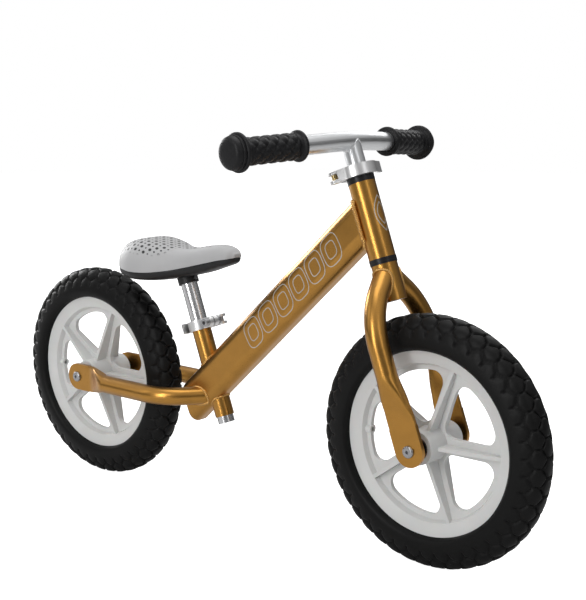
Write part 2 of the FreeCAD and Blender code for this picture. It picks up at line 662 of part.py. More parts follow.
def clamp_lever():
    """Cam lever: forked round the barrel, wrapped round the collar, with a flared tip."""
    outer = LEVER_R + LEVER_THICK
    pivot = Vector(SKEWER_REACH, cam_centre(), 0)
    middle = (LEVER_FROM + LEVER_TO) / 2
    ends = [polar(outer, LEVER_FROM), polar(LEVER_R, LEVER_FROM), polar(LEVER_R, LEVER_TO), polar(outer, LEVER_TO)]
    band = Part.Wire([
        Part.makeLine(ends[0], ends[1]),
        Part.Arc(ends[1], polar(LEVER_R, middle), ends[2]).toShape(),
        Part.makeLine(ends[2], ends[3]),
        Part.Arc(ends[3], polar(outer, middle), ends[0]).toShape(),
    ])
    shape = Part.Face(band).extrude(Vector(0, 0, CLAMP_HEIGHT))
    cam = rod(CAM_R, CLAMP_HEIGHT, pivot)
    neck = [ends[1], ends[0], pivot + Vector(0, CAM_R, 0), pivot + polar(CAM_R - FIT, 215.0)]
    shape = shape.fuse(cam).fuse(Part.Face(Part.makePolygon(neck + [neck[0]])).extrude(Vector(0, 0, CLAMP_HEIGHT)))
    along = polar(1.0, LEVER_TO + 90.0 - LEVER_FLARE)
    tip = [ends[2], ends[2] + along * LEVER_TIP, ends[3] + along * LEVER_TIP, ends[3]]
    shape = shape.fuse(Part.Face(Part.makePolygon(tip + [tip[0]])).extrude(Vector(0, 0, CLAMP_HEIGHT)))
    low = Vector(SKEWER_REACH - CAM_R - 1.5, 0, (CLAMP_HEIGHT - PRONG_GAP) / 2)
    high = Vector(SKEWER_REACH + 2 * CAM_R, 2 * cam_centre(), (CLAMP_HEIGHT + PRONG_GAP) / 2)
    shape = shape.cut(block(low, high))
    return largest(shape.cut(rod(BARREL_R + FIT, CLAMP_HEIGHT, pivot)))


def save_clamp(name, frame):
    """Every piece of one quick-release clamp."""
    save(name + "_collar", placed(clamp_collar(), frame))
    save(name + "_nut", placed(clamp_nut(), frame))
    save(name + "_skewer", placed(clamp_skewer(), frame))
    save(name + "_washer", placed(clamp_washer(), frame))
    save(name + "_barrel", placed(clamp_barrel(), frame))
    save(name + "_lever", placed(clamp_lever(), frame))


# ---------------------------------------------------------------- handlebar
def bar_path():
    """Centre line of the bar in its own plane: bent gently in the middle, swept back."""
    sweep = math.radians(BAR_SWEEP)
    turn = Vector(-BAR_BEND_R, 0, 0)
    shoulders = [turn + polar(BAR_BEND_R, s * BAR_SWEEP) for s in (-1, 1)]
    straight = (BAR_HALF - shoulders[1].y) / math.cos(sweep)
    run = polar(straight, 90.0 + BAR_SWEEP)
    tips = [shoulders[0] + Vector(run.x, -run.y, 0), shoulders[1] + run]
    bend = Part.Arc(shoulders[0], Vector(0, 0, 0), shoulders[1]).toShape()
    edges = [Part.makeLine(tips[0], shoulders[0]), bend, Part.makeLine(shoulders[1], tips[1])]
    return Part.Wire(edges), tips[0], run


def bar_solid(radius):
    path, tip, run = bar_path()
    bar = swept(path, radius, tip, Vector(-run.x, run.y, 0))
    return placed(bar, HEAD.multiply(FreeCAD.Placement(Vector(0, 0, BAR_Z), FreeCAD.Rotation())))


def handlebar():
    return bar_solid(BAR_R).cut(bar_solid(BAR_R - POST_WALL))


def stem():
    """Stem tube, cut to seat under the bar."""
    bottom = STEM_CLAMP_Z + CLAMP_OVERLAP - STEM_INSERT
    tube = ring(CLAMPED_POST_R, CLAMPED_POST_R - POST_WALL, BAR_Z - bottom, Vector(0, 0, bottom))
    return largest(placed(tube, HEAD).cut(bar_solid(BAR_R)))


def grip(side):
    """Rubber grip pushed over the bar's end, closed at the outside."""
    path, tip, run = bar_path()
    shoulder = polar(BAR_BEND_R, BAR_SWEEP) - Vector(BAR_BEND_R, 0, 0)
    outwards = Vector(run.x, run.y, 0).normalize()
    start = shoulder + outwards * ((GRIP_START - shoulder.y) / outwards.y)
    outline = [Vector(radius, 0, along) for along, radius in GRIP_OUTLINE]
    closed = [Vector(0, 0, 0)] + outline + [Vector(0, 0, GRIP_OUTLINE[-1][0])]
    body = turned(closed, axis=UP)
    bore = GRIP_OUTLINE[-1][0] - GRIP_END_WALL
    body = body.cut(rod(BAR_R + FIT, bore))
    body.Placement = FreeCAD.Placement(start, FreeCAD.Rotation(UP, outwards))
    if side < 0:
        body = body.mirror(Vector(0, 0, 0), SIDE)
    return placed(body, HEAD.multiply(FreeCAD.Placement(Vector(0, 0, BAR_Z), FreeCAD.Rotation())))


# ---------------------------------------------------------------- saddle
def arch(x, half_width, foot, top, squareness, dome):
    """Section across the saddle: a flat edge closed by an arch that may hang down."""
    points = []
    last = SADDLE_ARCH_POINTS - 1
    for i in range(SADDLE_ARCH_POINTS):
        a = math.pi * i / last
        c = math.copysign(abs(math.cos(a)) ** squareness, math.cos(a))
        points.append(Vector(x, half_width * c, foot + (top - foot) * abs(math.sin(a)) ** dome))
    points[0] = Vector(x, half_width, foot)
    points[last] = Vector(x, -half_width, foot)
    curve = Part.BSplineCurve()
    curve.interpolate(points)
    return Part.Wire([curve.toShape(), Part.makeLine(points[last], points[0])])


def seam_below():
    """Everything below the surface where the pad sits on the base."""
    points = [Vector(SADDLE.x - back, -WHEEL_R, SADDLE.z + seam) for back, w, seam, t, b in SADDLE_STATIONS]
    points[0] = points[0] + Vector(-HEAD_R, 0, 0)
    points[-1] = points[-1] + Vector(HEAD_R, 0, 0)
    curve = Part.BSplineCurve()
    curve.interpolate(points)
    deep = Vector(0, 0, -2 * WHEEL_R)
    sides = Part.makePolygon([points[-1], points[-1] + deep, points[0] + deep, points[0]])
    return Part.Face(Part.Wire([curve.toShape()] + sides.Edges)).extrude(Vector(0, 2 * WHEEL_R, 0))


def saddle_pad(below):
    """Soft pad: domed over each station and cut flat on the seam."""
    sections = []
    for back, width, seam, top, under in SADDLE_STATIONS:
        foot = SADDLE.z + seam - SEAM_LAP
        sections.append(arch(SADDLE.x - back, width, foot, SADDLE.z + top, PAD_SQUARE, PAD_DOME))
    return largest(Part.makeLoft(sections, True).cut(below))


def saddle_base(below):
    """Stiff base under the pad, with the socket that takes the post."""
    sections = []
    for back, width, seam, top, under in SADDLE_STATIONS:
        foot = SADDLE.z + seam + SEAM_LAP
        low = SADDLE.z + under
        sections.append(arch(SADDLE.x - back, width - PAD_OVERHANG, foot, low, PAD_SQUARE, BASE_DOME))
    base = Part.makeLoft(sections, True).common(below)
    mouth = Vector(0, 0, SADDLE_Z)
    socket = placed(rod(SOCKET_R, SOCKET_LENGTH, mouth).mirror(Vector(0, 0, 0), FWD), SEAT).common(below)
    bore = placed(rod(CLAMPED_BORE_R, POST_IN_SOCKET + FIT, mouth).mirror(Vector(0, 0, 0), FWD), SEAT)
    return largest(base.fuse(socket).cut(bore).cut(saddle_bolt(FIT)))


def saddle_bolt(gap):
    """Bolt through the front of the socket that pins the post."""
    height = SADDLE_Z + SADDLE_BOLT_UP
    start = Vector(CLAMPED_POST_R + FIT, 0, height)
    shank = rod(SADDLE_BOLT_SHANK_R + gap, SOCKET_R - CLAMPED_POST_R, start, FWD)
    head = rod(SADDLE_BOLT_R, SADDLE_BOLT_HEAD, Vector(SOCKET_R, 0, height), FWD)
    bolt = shank.fuse(head)
    if gap == 0.0:
        face = Vector(SOCKET_R + SADDLE_BOLT_HEAD, 0, height)
        bolt = bolt.cut(hexagon(SADDLE_BOLT_HEX, SADDLE_BOLT_HEX_DEPTH, face, -FWD))
    return placed(bolt, SEAT)


def seat_post():
    length = SADDLE_Z + POST_IN_SOCKET + POST_BELOW
    return placed(ring(CLAMPED_POST_R, CLAMPED_POST_R - POST_WALL, length, Vector(0, 0, -POST_BELOW)), SEAT)


# ---------------------------------------------------------------- nodes
os.makedirs("parts", exist_ok=True)

save_wheel("front", FRONT_WHEEL)
save_wheel("rear", REAR_WHEEL)

left_stay = stay()
save("main_tube", main_tube())
save("head_tube", head_tube())
save("seat_tube", placed(slotted_tube(-SEAT_TUBE_BELOW, SEAT_TUBE_ABOVE, 1), SEAT))
save("stay_left", left_stay)
save("stay_right", left_stay.mirror(Vector(0, 0, 0), SIDE))
save("headset_lower_cup", headset_cup(-LOWER_CUP, LOWER_CUP, 0.0))
save("headset_upper_cup", headset_cup(HEAD_LENGTH, UPPER_CUP, HEAD_LENGTH - CUP_SLEEVE))
save_clamp("seat_clamp", clamp_frame(SEAT, SEAT_CLAMP_Z, 0.0))

left_leg = fork_leg()
crown_bottom = -LOWER_CUP - HEADSET_GAP - CROWN_RACE - CROWN_LENGTH
steerer_top = STEM_CLAMP_Z + CLAMP_OVERLAP
save("fork_leg_left", placed(left_leg, FORK))
save("fork_leg_right", placed(left_leg.mirror(Vector(0, 0, 0), SIDE), FORK))
save("fork_crown", placed(ring(CROWN_R, STEERER_R + FIT, CROWN_LENGTH, Vector(0, 0, crown_bottom)), HEAD))
save("fork_steerer", placed(slotted_tube(crown_bottom, steerer_top, -1), HEAD))
save("headset_crown_race", headset_race(crown_bottom + CROWN_LENGTH, CROWN_RACE))
save("headset_top_race", headset_race(HEAD_LENGTH + UPPER_CUP + HEADSET_GAP, TOP_RACE))
save_clamp("stem_clamp", clamp_frame(HEAD, STEM_CLAMP_Z, 180.0))

save("handlebar", handlebar())
save("stem", stem())
save("grip_left", grip(1))
save("grip_right", grip(-1))

below_seam = seam_below()
save("seat_post", seat_post())
save("saddle_base", saddle_base(below_seam))
save("saddle_pad", saddle_pad(below_seam))
save("saddle_bolt", saddle_bolt(0.0))
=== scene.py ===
import logging
import math
from dataclasses import dataclass, field
from enum import Enum
from typing import Callable

import bmesh
import bpy
import numpy as np
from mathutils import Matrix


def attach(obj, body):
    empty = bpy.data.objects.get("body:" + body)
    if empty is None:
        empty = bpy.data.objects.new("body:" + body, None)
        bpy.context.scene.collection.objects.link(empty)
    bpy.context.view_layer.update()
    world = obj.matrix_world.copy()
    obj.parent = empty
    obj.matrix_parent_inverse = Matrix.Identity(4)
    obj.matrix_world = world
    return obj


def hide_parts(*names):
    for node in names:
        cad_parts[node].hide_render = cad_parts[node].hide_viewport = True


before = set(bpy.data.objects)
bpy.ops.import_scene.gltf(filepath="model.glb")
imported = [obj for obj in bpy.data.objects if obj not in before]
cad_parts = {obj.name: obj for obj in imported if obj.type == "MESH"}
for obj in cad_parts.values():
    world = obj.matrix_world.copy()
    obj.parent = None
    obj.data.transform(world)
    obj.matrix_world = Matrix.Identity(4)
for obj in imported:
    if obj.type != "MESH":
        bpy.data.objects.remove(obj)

# The looks of a child's balance bike. Metres, +Z up, +X forwards, +Y to the rider's left, with the
# origin on the ground midway between the wheels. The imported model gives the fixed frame; new pieces
# stand for the soft and patterned parts and add the weld beads and printed outlines.

Array = np.ndarray
LOG = logging.getLogger("balance_bike")

MM = 0.001
LEAN = math.radians(20.0)
FORWARD = np.array([math.cos(LEAN), 0.0, math.sin(LEAN)])
SIDE = np.array([0.0, 1.0, 0.0])
UP_AXIS = np.array([-math.sin(LEAN), 0.0, math.cos(LEAN)])


# ---------------------------------------------------------------- shared geometry
def unit(vectors: Array) -> Array:
    """Scale vectors to length one.

    Args:
        vectors: Array whose last axis holds the components.

    Returns:
        The same directions, each vector divided by its own length.
    """
    return vectors / np.linalg.norm(vectors, axis=-1, keepdims=True)


def ease(values: Array) -> Array:
    """Smooth step: clamp to 0..1, then three squares less two cubes."""
    inside = np.clip(values, 0.0, 1.0)
    return inside * inside * (3.0 - 2.0 * inside)


def spline(points: Array, samples: int) -> Array:
    """Catmull-Rom curve through a row of points.

    Each span is a cubic whose end slopes are half the difference of the neighbouring points.

    Args:
        points: Knots by components.
        samples: How many points to return, evenly spaced by knot number.

    Returns:
        Samples by components, starting and ending on the end knots.
    """
    knots = np.vstack([2 * points[0] - points[1], points, 2 * points[-1] - points[-2]])
    place = np.linspace(0.0, len(points) - 1.0, samples)
    span = np.minimum(place.astype(int), len(points) - 2)
    t = (place - span)[:, None]
    a, b, c, d = (knots[span + i] for i in range(4))
    return 0.5 * (2 * b + (c - a) * t + (2 * a - 5 * b + 4 * c - d) * t**2 + (3 * b - a - 3 * c + d) * t**3)


def evenly(loop: Array, samples: int) -> Array:
    """Points spaced evenly by length round a closed loop.

    Args:
        loop: Points of the loop in order, without the first one repeated.
        samples: How many points to return.

    Returns:
        Samples by three, linearly interpolated on the summed length of the loop's sides.
    """
    closed = np.vstack([loop, loop[:1]])
    run = np.concatenate([[0.0], np.cumsum(np.linalg.norm(np.diff(closed, axis=0), axis=1))])
    wanted = np.linspace(0.0, run[-1], samples, endpoint=False)
    return np.stack([np.interp(wanted, run, closed[:, k]) for k in range(3)], axis=1)


def loop_length(loop: Array) -> float:
    """Length once round a closed loop of points."""
    return float(np.linalg.norm(np.roll(loop, -1, axis=0) - loop, axis=1).sum())


@dataclass(frozen=True)
class Axes:
    """A place and three directions, as a tube's own axis system."""

    origin: tuple[float, float, float]
    x: tuple[float, float, float]
    z: tuple[float, float, float]

    def place(self, local: Array) -> Array:
        """Carry points from this axis system to the bike's.

        Args:
            local: Array whose last axis is x, y and z in this system, y to the rider's left.

        Returns:
            The same points measured from the bike's origin.
        """
        x, z = np.array(self.x), np.array(self.z)
        return np.array(self.origin) + local[..., :1] * x + local[..., 1:2] * SIDE + local[..., 2:] * z

    def measure(self, points: Array) -> Array:
        """Carry points from the bike's axis system into this one.

        Args:
            points: Array whose last axis is x, y and z from the bike's origin.

        Returns:
            Their components along this system's three directions.
        """
        away = points - np.array(self.origin)
        return np.stack([away @ np.array(self.x), away @ SIDE, away @ np.array(self.z)], axis=-1)


@dataclass(frozen=True)
class Layout:
    """Where the bike's tubes run."""

    half_base: float = 0.2822
    wheel_radius: float = 0.150
    head_up_fork: float = 0.21950
    bar_up_head: float = 0.1401
    main_end: tuple[float, float, float] = (-0.0991, 0.0, 0.1339)
    main_meets_head: float = 0.0504
    seat_along_main: float = 0.0528

    def fork(self) -> Axes:
        """Front wheel's centre, with z up the steering axis."""
        return Axes((self.half_base, 0.0, self.wheel_radius), tuple(FORWARD), tuple(UP_AXIS))

    def head(self) -> Axes:
        """Lower end of the head tube."""
        start = self.fork().place(np.array([0.0, 0.0, self.head_up_fork]))
        return Axes(tuple(start), tuple(FORWARD), tuple(UP_AXIS))

    def main(self) -> Axes:
        """Closed end of the main tube, with z up the tube and x to its underside."""
        top = self.head().place(np.array([0.0, 0.0, self.main_meets_head]))
        along = unit(top - np.array(self.main_end))
        return Axes(self.main_end, (along[2], 0.0, -along[0]), tuple(along))

    def seat(self) -> Axes:
        """Crossing of the seat tube's axis and the main tube's."""
        start = self.main().place(np.array([0.0, 0.0, self.seat_along_main]))
        return Axes(tuple(start), tuple(FORWARD), tuple(UP_AXIS))


def surface(name: str, grid: Array, wrap_rows: bool, wrap_columns: bool, sharp: float = 50.0) -> bpy.types.Object:
    """Closed mesh over a grid of points.

    Rows run along the first axis and columns along the second. Quads join neighbours, with the
    wrapped directions joined end to end and an unwrapped row direction capped by its end rows.

    Args:
        name: Name of the new object.
        grid: Rows by columns by three.
        wrap_rows: Join the last row to the first.
        wrap_columns: Join the last column to the first.
        sharp: Angle in degrees past which an edge stays hard.

    Returns:
        The object, smooth shaded, with its faces pointing outwards.
    """
    rows, columns = grid.shape[:2]
    number = np.arange(rows * columns).reshape(rows, columns)
    across = number if not wrap_columns else np.hstack([number, number[:, :1]])
    whole = across if not wrap_rows else np.vstack([across, across[:1]])
    quads = np.stack([whole[:-1, :-1], whole[1:, :-1], whole[1:, 1:], whole[:-1, 1:]], axis=-1).reshape(-1, 4)
    faces = quads.tolist()
    if not wrap_rows:
        faces += [number[0].tolist(), number[-1][::-1].tolist()]
    mesh = bpy.data.meshes.new(name)
    mesh.from_pydata(grid.reshape(-1, 3).tolist(), [], faces)
    work = bmesh.new()
    work.from_mesh(mesh)
    bmesh.ops.recalc_face_normals(work, faces=work.faces)
    work.to_mesh(mesh)
    work.free()
    mesh.polygons.foreach_set("use_smooth", np.ones(len(mesh.polygons), bool))
    mesh.set_sharp_from_angle(angle=math.radians(sharp))
    piece = bpy.data.objects.new(name, mesh)
    bpy.context.scene.collection.objects.link(piece)
    return piece


def point_values(piece: bpy.types.Object, name: str, values: Array) -> None:
    """Store one number for each vertex as a named attribute.

    Args:
        piece: Object whose mesh gets the attribute.
        name: Attribute's name, which its material reads.
        values: One number for each vertex, in order.
    """
    layer = piece.data.attributes.new(name, "FLOAT", "POINT")
    layer.data.foreach_set("value", np.ascontiguousarray(values, np.float32).ravel())


def point_vectors(piece: bpy.types.Object, name: str, values: Array) -> None:
    """Store one vector for each vertex as a named attribute.

    Args:
        piece: Object whose mesh gets the attribute.
        name: Attribute's name, which its material reads.
        values: Three numbers for each vertex, in order.
    """
    layer = piece.data.attributes.new(name, "FLOAT_VECTOR", "POINT")
    layer.data.foreach_set("vector", np.ascontiguousarray(values, np.float32).ravel())


# ---------------------------------------------------------------- node building
Socket = bpy.types.NodeSocket


class NodeSheet:
    """Adds and joins nodes in one node tree."""

    def __init__(self, tree: bpy.types.NodeTree) -> None:
        """Work on this tree."""
        self.tree = tree

    def add(self, kind: str, **settings: object) -> bpy.types.Node:
        """Make a node.

        Args:
            kind: The node's type name.
            settings: Properties of the node and their values.

        Returns:
            The new node.
        """
        node = self.tree.nodes.new(kind)
        for key, value in settings.items():
            setattr(node, key, value)
        return node

    def feed(self, target: Socket, source: object) -> None:
        """Join a socket to another, or set its own value."""
        if isinstance(source, bpy.types.NodeSocket):
            self.tree.links.new(source, target)
        else:
            target.default_value = source

    def math(self, operation: str, first: object, second: object = 0.0, third: object = 0.0) -> Socket:
        """One arithmetic step.

        Args:
            operation: A Math node's operation.
            first: First number or socket.
            second: Second number or socket.
            third: Third number or socket, for the operations that take one.

        Returns:
            The result's socket.
        """
        node = self.add("ShaderNodeMath", operation=operation)
        for target, source in zip(node.inputs, (first, second, third)):
            self.feed(target, source)
        return node.outputs[0]

    def vector(self, operation: str, first: object, second: object = (0.0, 0.0, 0.0)) -> bpy.types.Node:
        """One step of vector arithmetic.

        Args:
            operation: A Vector Math node's operation.
            first: First vector or socket.
            second: Second vector or socket.

        Returns:
            The node, whose outputs are the vector and the number.
        """
        node = self.add("ShaderNodeVectorMath", operation=operation)
        self.feed(node.inputs[0], first)
        self.feed(node.inputs[1], second)
        return node

    def spread(self, value: Socket, low: float, high: float, to_low: float, to_high: float) -> Socket:
        """Carry one range of numbers smoothly to another.

        Args:
            value: The number's socket.
            low: Start of the incoming range.
            high: End of the incoming range.
            to_low: What low becomes.
            to_high: What high becomes.

        Returns:
            The result's socket, held inside the outgoing range.
        """
        node = self.add("ShaderNodeMapRange", interpolation_type="SMOOTHSTEP")
        for target, source in zip(node.inputs, (value, low, high, to_low, to_high)):
            self.feed(target, source)
        return node.outputs["Result"]

    def noise(self, place: Socket, scale: object, detail: float) -> Socket:
        """Smooth noise from 0 to 1 at a place."""
        node = self.add("ShaderNodeTexNoise")
        self.feed(node.inputs["Vector"], place)
        self.feed(node.inputs["Scale"], scale)
        node.inputs["Detail"].default_value = detail
        return node.outputs["Fac"]


def colour_mix(sheet: NodeSheet, share: object, first: object, second: object) -> Socket:
    """Blend two colours, taking the colour sockets of a Mix node by their type.

    Args:
        sheet: The tree's node builder.
        share: Number or socket, 0 for the first colour and 1 for the second.
        first: Colour or socket.
        second: Colour or socket.

    Returns:
        The blended colour's socket.
    """
    node = sheet.add("ShaderNodeMix", data_type="RGBA")
    factors = [s for s in node.inputs if s.type == "VALUE"]
    colours = [s for s in node.inputs if s.type == "RGBA"]
    sheet.feed(factors[0], share)
    sheet.feed(colours[0], first)
    sheet.feed(colours[1], second)
    return [s for s in node.outputs if s.type == "RGBA"][0]


class Effects:
    """The shared shader groups, each made once."""

    def __init__(self) -> None:
        """Make every group."""
        self.grain = self._grain()
        self.handling = self._handling()
        self.pierced = self._pierced()

    @staticmethod
    def _group(name: str, numbers: dict[str, float], results: list[str]) -> tuple[NodeSheet, object, object]:
        """An empty group with its sockets.

        Args:
            name: The group's name.
            numbers: Number inputs and their default values, after the Vector input.
            results: Names of the number outputs.

        Returns:
            The node builder, the group's input node and its output node.
        """
        tree = bpy.data.node_groups.new(name, "ShaderNodeTree")
        tree.interface.new_socket("Vector", in_out="INPUT", socket_type="NodeSocketVector")
        for key, value in numbers.items():
            socket = tree.interface.new_socket(key, in_out="INPUT", socket_type="NodeSocketFloat")
            socket.default_value = value
        for key in results:
            tree.interface.new_socket(key, in_out="OUTPUT", socket_type="NodeSocketFloat")
        sheet = NodeSheet(tree)
        return sheet, sheet.add("NodeGroupInput"), sheet.add("NodeGroupOutput")

    def _grain(self) -> bpy.types.NodeTree:
        """Fine surface grain: noise whose places are stretched along X, Y or Z before it is read."""
        numbers = {"Scale": 900.0, "Along X": 1.0, "Along Y": 1.0, "Along Z": 1.0}
        sheet, start, end = self._group("surface_grain", numbers, ["Height", "Broad"])
        stretch = sheet.add("ShaderNodeCombineXYZ")
        for target, key in zip(stretch.inputs, ("Along X", "Along Y", "Along Z")):
            sheet.feed(target, start.outputs[key])
        place = sheet.vector("MULTIPLY", start.outputs["Vector"], stretch.outputs[0]).outputs[0]
        sheet.feed(end.inputs["Height"], sheet.noise(place, start.outputs["Scale"], 4.0))
        broad = sheet.math("MULTIPLY", start.outputs["Scale"], 0.03)
        sheet.feed(end.inputs["Broad"], sheet.noise(place, broad, 3.0))
        return sheet.tree

    def _handling(self) -> bpy.types.NodeTree:
        """Marks of use: broad patches times fine scuffs, kept above a threshold."""
        numbers = {"Patch Scale": 14.0, "Scuff Scale": 160.0, "Amount": 0.5}
        sheet, start, end = self._group("handling_marks", numbers, ["Mask"])
        patch = sheet.noise(start.outputs["Vector"], start.outputs["Patch Scale"], 3.0)
        scuff = sheet.noise(start.outputs["Vector"], start.outputs["Scuff Scale"], 6.0)
        patches, scuffs = sheet.spread(patch, 0.45, 0.7, 0.0, 1.0), sheet.spread(scuff, 0.5, 0.72, 0.0, 1.0)
        both = sheet.math("MULTIPLY", patches, scuffs)
        sheet.feed(end.inputs["Mask"], sheet.math("MULTIPLY", both, start.outputs["Amount"]))
        return sheet.tree

    def _pierced(self) -> bpy.types.NodeTree:
        """Two sizes of round hole on staggered square lattices; the mask is 1 inside a hole."""
        numbers = {"Pitch": 0.011, "Large": 0.0014, "Small": 0.0008, "Region": 1.0}
        sheet, start, end = self._group("pierced_rows", numbers, ["Mask"])
        scaled = sheet.add("ShaderNodeVectorMath", operation="SCALE")
        sheet.feed(scaled.inputs[0], start.outputs["Vector"])
        sheet.feed(scaled.inputs["Scale"], sheet.math("DIVIDE", 1.0, start.outputs["Pitch"]))
        masks = []
        lattices = (
            ((0.0, 0.0, 0.0), "Large"), ((0.5, 0.5, 0.0), "Large"),
            ((0.5, 0.0, 0.0), "Small"), ((0.0, 0.5, 0.0), "Small"),
        )
        for shift, size in lattices:
            moved = sheet.vector("ADD", scaled.outputs[0], shift).outputs[0]
            part = sheet.vector("FRACTION", moved).outputs[0]
            centred = sheet.vector("SUBTRACT", part, (0.5, 0.5, 0.0)).outputs[0]
            flat = sheet.vector("MULTIPLY", centred, (1.0, 1.0, 0.0)).outputs[0]
            away = sheet.math("MULTIPLY", sheet.vector("LENGTH", flat).outputs["Value"], start.outputs["Pitch"])
            edge = sheet.math("DIVIDE", away, start.outputs[size])
            masks.append(sheet.spread(edge, 0.75, 1.1, 1.0, 0.0))
        most = masks[0]
        for mask in masks[1:]:
            most = sheet.math("MAXIMUM", most, mask)
        sheet.feed(end.inputs["Mask"], sheet.math("MULTIPLY", most, start.outputs["Region"]))
        return sheet.tree


# ---------------------------------------------------------------- finishes
class Brushing(Enum):
    """Which way a metal's polishing lines run."""

    NONE = (1.0, 1.0, 1.0)
    ACROSS_BIKE = (1.0, 0.03, 1.0)
    UP_POST = (1.0, 1.0, 0.06)


@dataclass(frozen=True)
class Metal:
    """Bare or anodised alloy, steel or brass."""

    name: str
    colour: tuple[float, float, float]
    rough: float
    grain: float = 0.04
    scale: float = 900.0
    marks: float = 0.3
    metallic: float = 1.0
    coat: float = 0.0
    brushing: Brushing = Brushing.NONE

    def material(self, effects: Effects) -> bpy.types.Material:
        """Build the metal's material.

        Args:
            effects: The shared shader groups.

        Returns:
            A material whose tone, roughness and fine relief vary over the surface.
        """
        material, sheet, shader, place = blank_material(self.name)
        grain = sheet.add("ShaderNodeGroup", node_tree=effects.grain)
        sheet.feed(grain.inputs["Vector"], place)
        grain.inputs["Scale"].default_value = self.scale
        for key, value in zip(("Along X", "Along Y", "Along Z"), self.brushing.value):
            grain.inputs[key].default_value = value
        marks = sheet.add("ShaderNodeGroup", node_tree=effects.handling)
        sheet.feed(marks.inputs["Vector"], place)
        marks.inputs["Amount"].default_value = self.marks
        light = tuple(min(1.0, c * 1.03) for c in self.colour) + (1.0,)
        deep = tuple(c * 0.95 for c in self.colour) + (1.0,)
        tone = colour_mix(sheet, sheet.spread(grain.outputs["Broad"], 0.3, 0.7, 0.0, 1.0), deep, light)
        sheet.feed(shader.inputs["Base Color"], tone)
        fine = sheet.spread(grain.outputs["Height"], 0.25, 0.75, self.rough * 0.88, self.rough * 1.14)
        sheet.feed(shader.inputs["Roughness"], sheet.math("MULTIPLY_ADD", marks.outputs["Mask"], 0.25, fine))
        shader.inputs["Metallic"].default_value = self.metallic
        shader.inputs["Coat Weight"].default_value = self.coat
        shader.inputs["Coat Roughness"].default_value = 0.32
        relief(sheet, shader, grain.outputs["Height"], self.grain, 0.0004)
        return material


@dataclass(frozen=True)
class Moulded:
    """Moulded plastic, rubber or foam with a textured skin."""

    name: str
    colour: tuple[float, float, float]
    rough: float
    scale: float = 1400.0
    grain: float = 0.25
    depth: float = 0.0003
    marks: float = 0.5
    dust: tuple[float, float, float] = (0.5, 0.48, 0.45)
    dusty: float = 0.15
    sheen: float = 0.0
    subsurface: float = 0.0
    specular: float = 0.5
    mottle: float = 0.06

    def material(self, effects: Effects) -> bpy.types.Material:
        """Build the moulded skin's material.

        Args:
            effects: The shared shader groups.

        Returns:
            A material with a pebbled skin, broad mottling and a trace of dust.
        """
        material, sheet, shader, place = blank_material(self.name)
        self.skin(sheet, shader, place, effects)
        return material

    def skin(self, sheet: NodeSheet, shader: bpy.types.Node, place: Socket, effects: Effects) -> tuple[Socket, Socket]:
        """Lay the pebbled skin on a shader.

        Args:
            sheet: The material's node builder.
            shader: The material's shader node.
            place: Socket of the object's coordinates.
            effects: The shared shader groups.

        Returns:
            The colour's socket and the relief's height socket.
        """
        grain = sheet.add("ShaderNodeGroup", node_tree=effects.grain)
        sheet.feed(grain.inputs["Vector"], place)
        grain.inputs["Scale"].default_value = self.scale
        marks = sheet.add("ShaderNodeGroup", node_tree=effects.handling)
        sheet.feed(marks.inputs["Vector"], place)
        marks.inputs["Amount"].default_value = self.marks
        light = tuple(min(1.0, c * (1.0 + self.mottle)) for c in self.colour) + (1.0,)
        deep = tuple(c * (1.0 - self.mottle) for c in self.colour) + (1.0,)
        tone = colour_mix(sheet, sheet.spread(grain.outputs["Broad"], 0.3, 0.7, 0.0, 1.0), deep, light)
        dust = sheet.math("MULTIPLY", marks.outputs["Mask"], self.dusty)
        tone = colour_mix(sheet, dust, tone, self.dust + (1.0,))
        sheet.feed(shader.inputs["Base Color"], tone)
        fine = sheet.spread(grain.outputs["Height"], 0.25, 0.75, self.rough * 0.9, min(1.0, self.rough * 1.12))
        sheet.feed(shader.inputs["Roughness"], sheet.math("MULTIPLY_ADD", marks.outputs["Mask"], 0.12, fine))
        shader.inputs["Sheen Weight"].default_value = self.sheen
        shader.inputs["Subsurface Weight"].default_value = self.subsurface
        shader.inputs["Subsurface Scale"].default_value = 0.003
        shader.inputs["Specular IOR Level"].default_value = self.specular
        relief(sheet, shader, grain.outputs["Height"], self.grain, self.depth)
        return tone, grain.outputs["Height"]


@dataclass(frozen=True)
class PiercedSkin(Moulded):
    """Soft saddle skin with rows of small holes."""

    pitch: float = 0.0140
    large: float = 0.0024
    small: float = 0.0014
    # Near-black painted shade for the inside of each hole; the holes are only a bump, not cut into the surface.
    hole: tuple[float, float, float] = (0.012, 0.012, 0.012)

    def material(self, effects: Effects) -> bpy.types.Material:
        """Build the pierced skin's material.

        Args:
            effects: The shared shader groups.

        Returns:
            The moulded skin, sunk where the holes are and painted near black there as the shade inside each hole.
        """
        material, sheet, shader, place = blank_material(self.name)
        tone, height = self.skin(sheet, shader, place, effects)
        along = sheet.add("ShaderNodeAttribute", attribute_name="skin_place")
        region = sheet.add("ShaderNodeAttribute", attribute_name="pierced_region")
        holes = sheet.add("ShaderNodeGroup", node_tree=effects.pierced)
        sheet.feed(holes.inputs["Vector"], along.outputs["Vector"])
        sheet.feed(holes.inputs["Region"], region.outputs["Fac"])
        holes.inputs["Pitch"].default_value = self.pitch
        holes.inputs["Large"].default_value = self.large
        holes.inputs["Small"].default_value = self.small
        # Painted shade: near black inside the holes, mixed over the skin's colour by the hole mask.
        sheet.feed(shader.inputs["Base Color"], colour_mix(sheet, holes.outputs["Mask"], tone, self.hole + (1.0,)))
        sunk = sheet.math("MULTIPLY_ADD", holes.outputs["Mask"], -4.0, height)
        relief(sheet, shader, sunk, self.grain, self.depth)
        return material


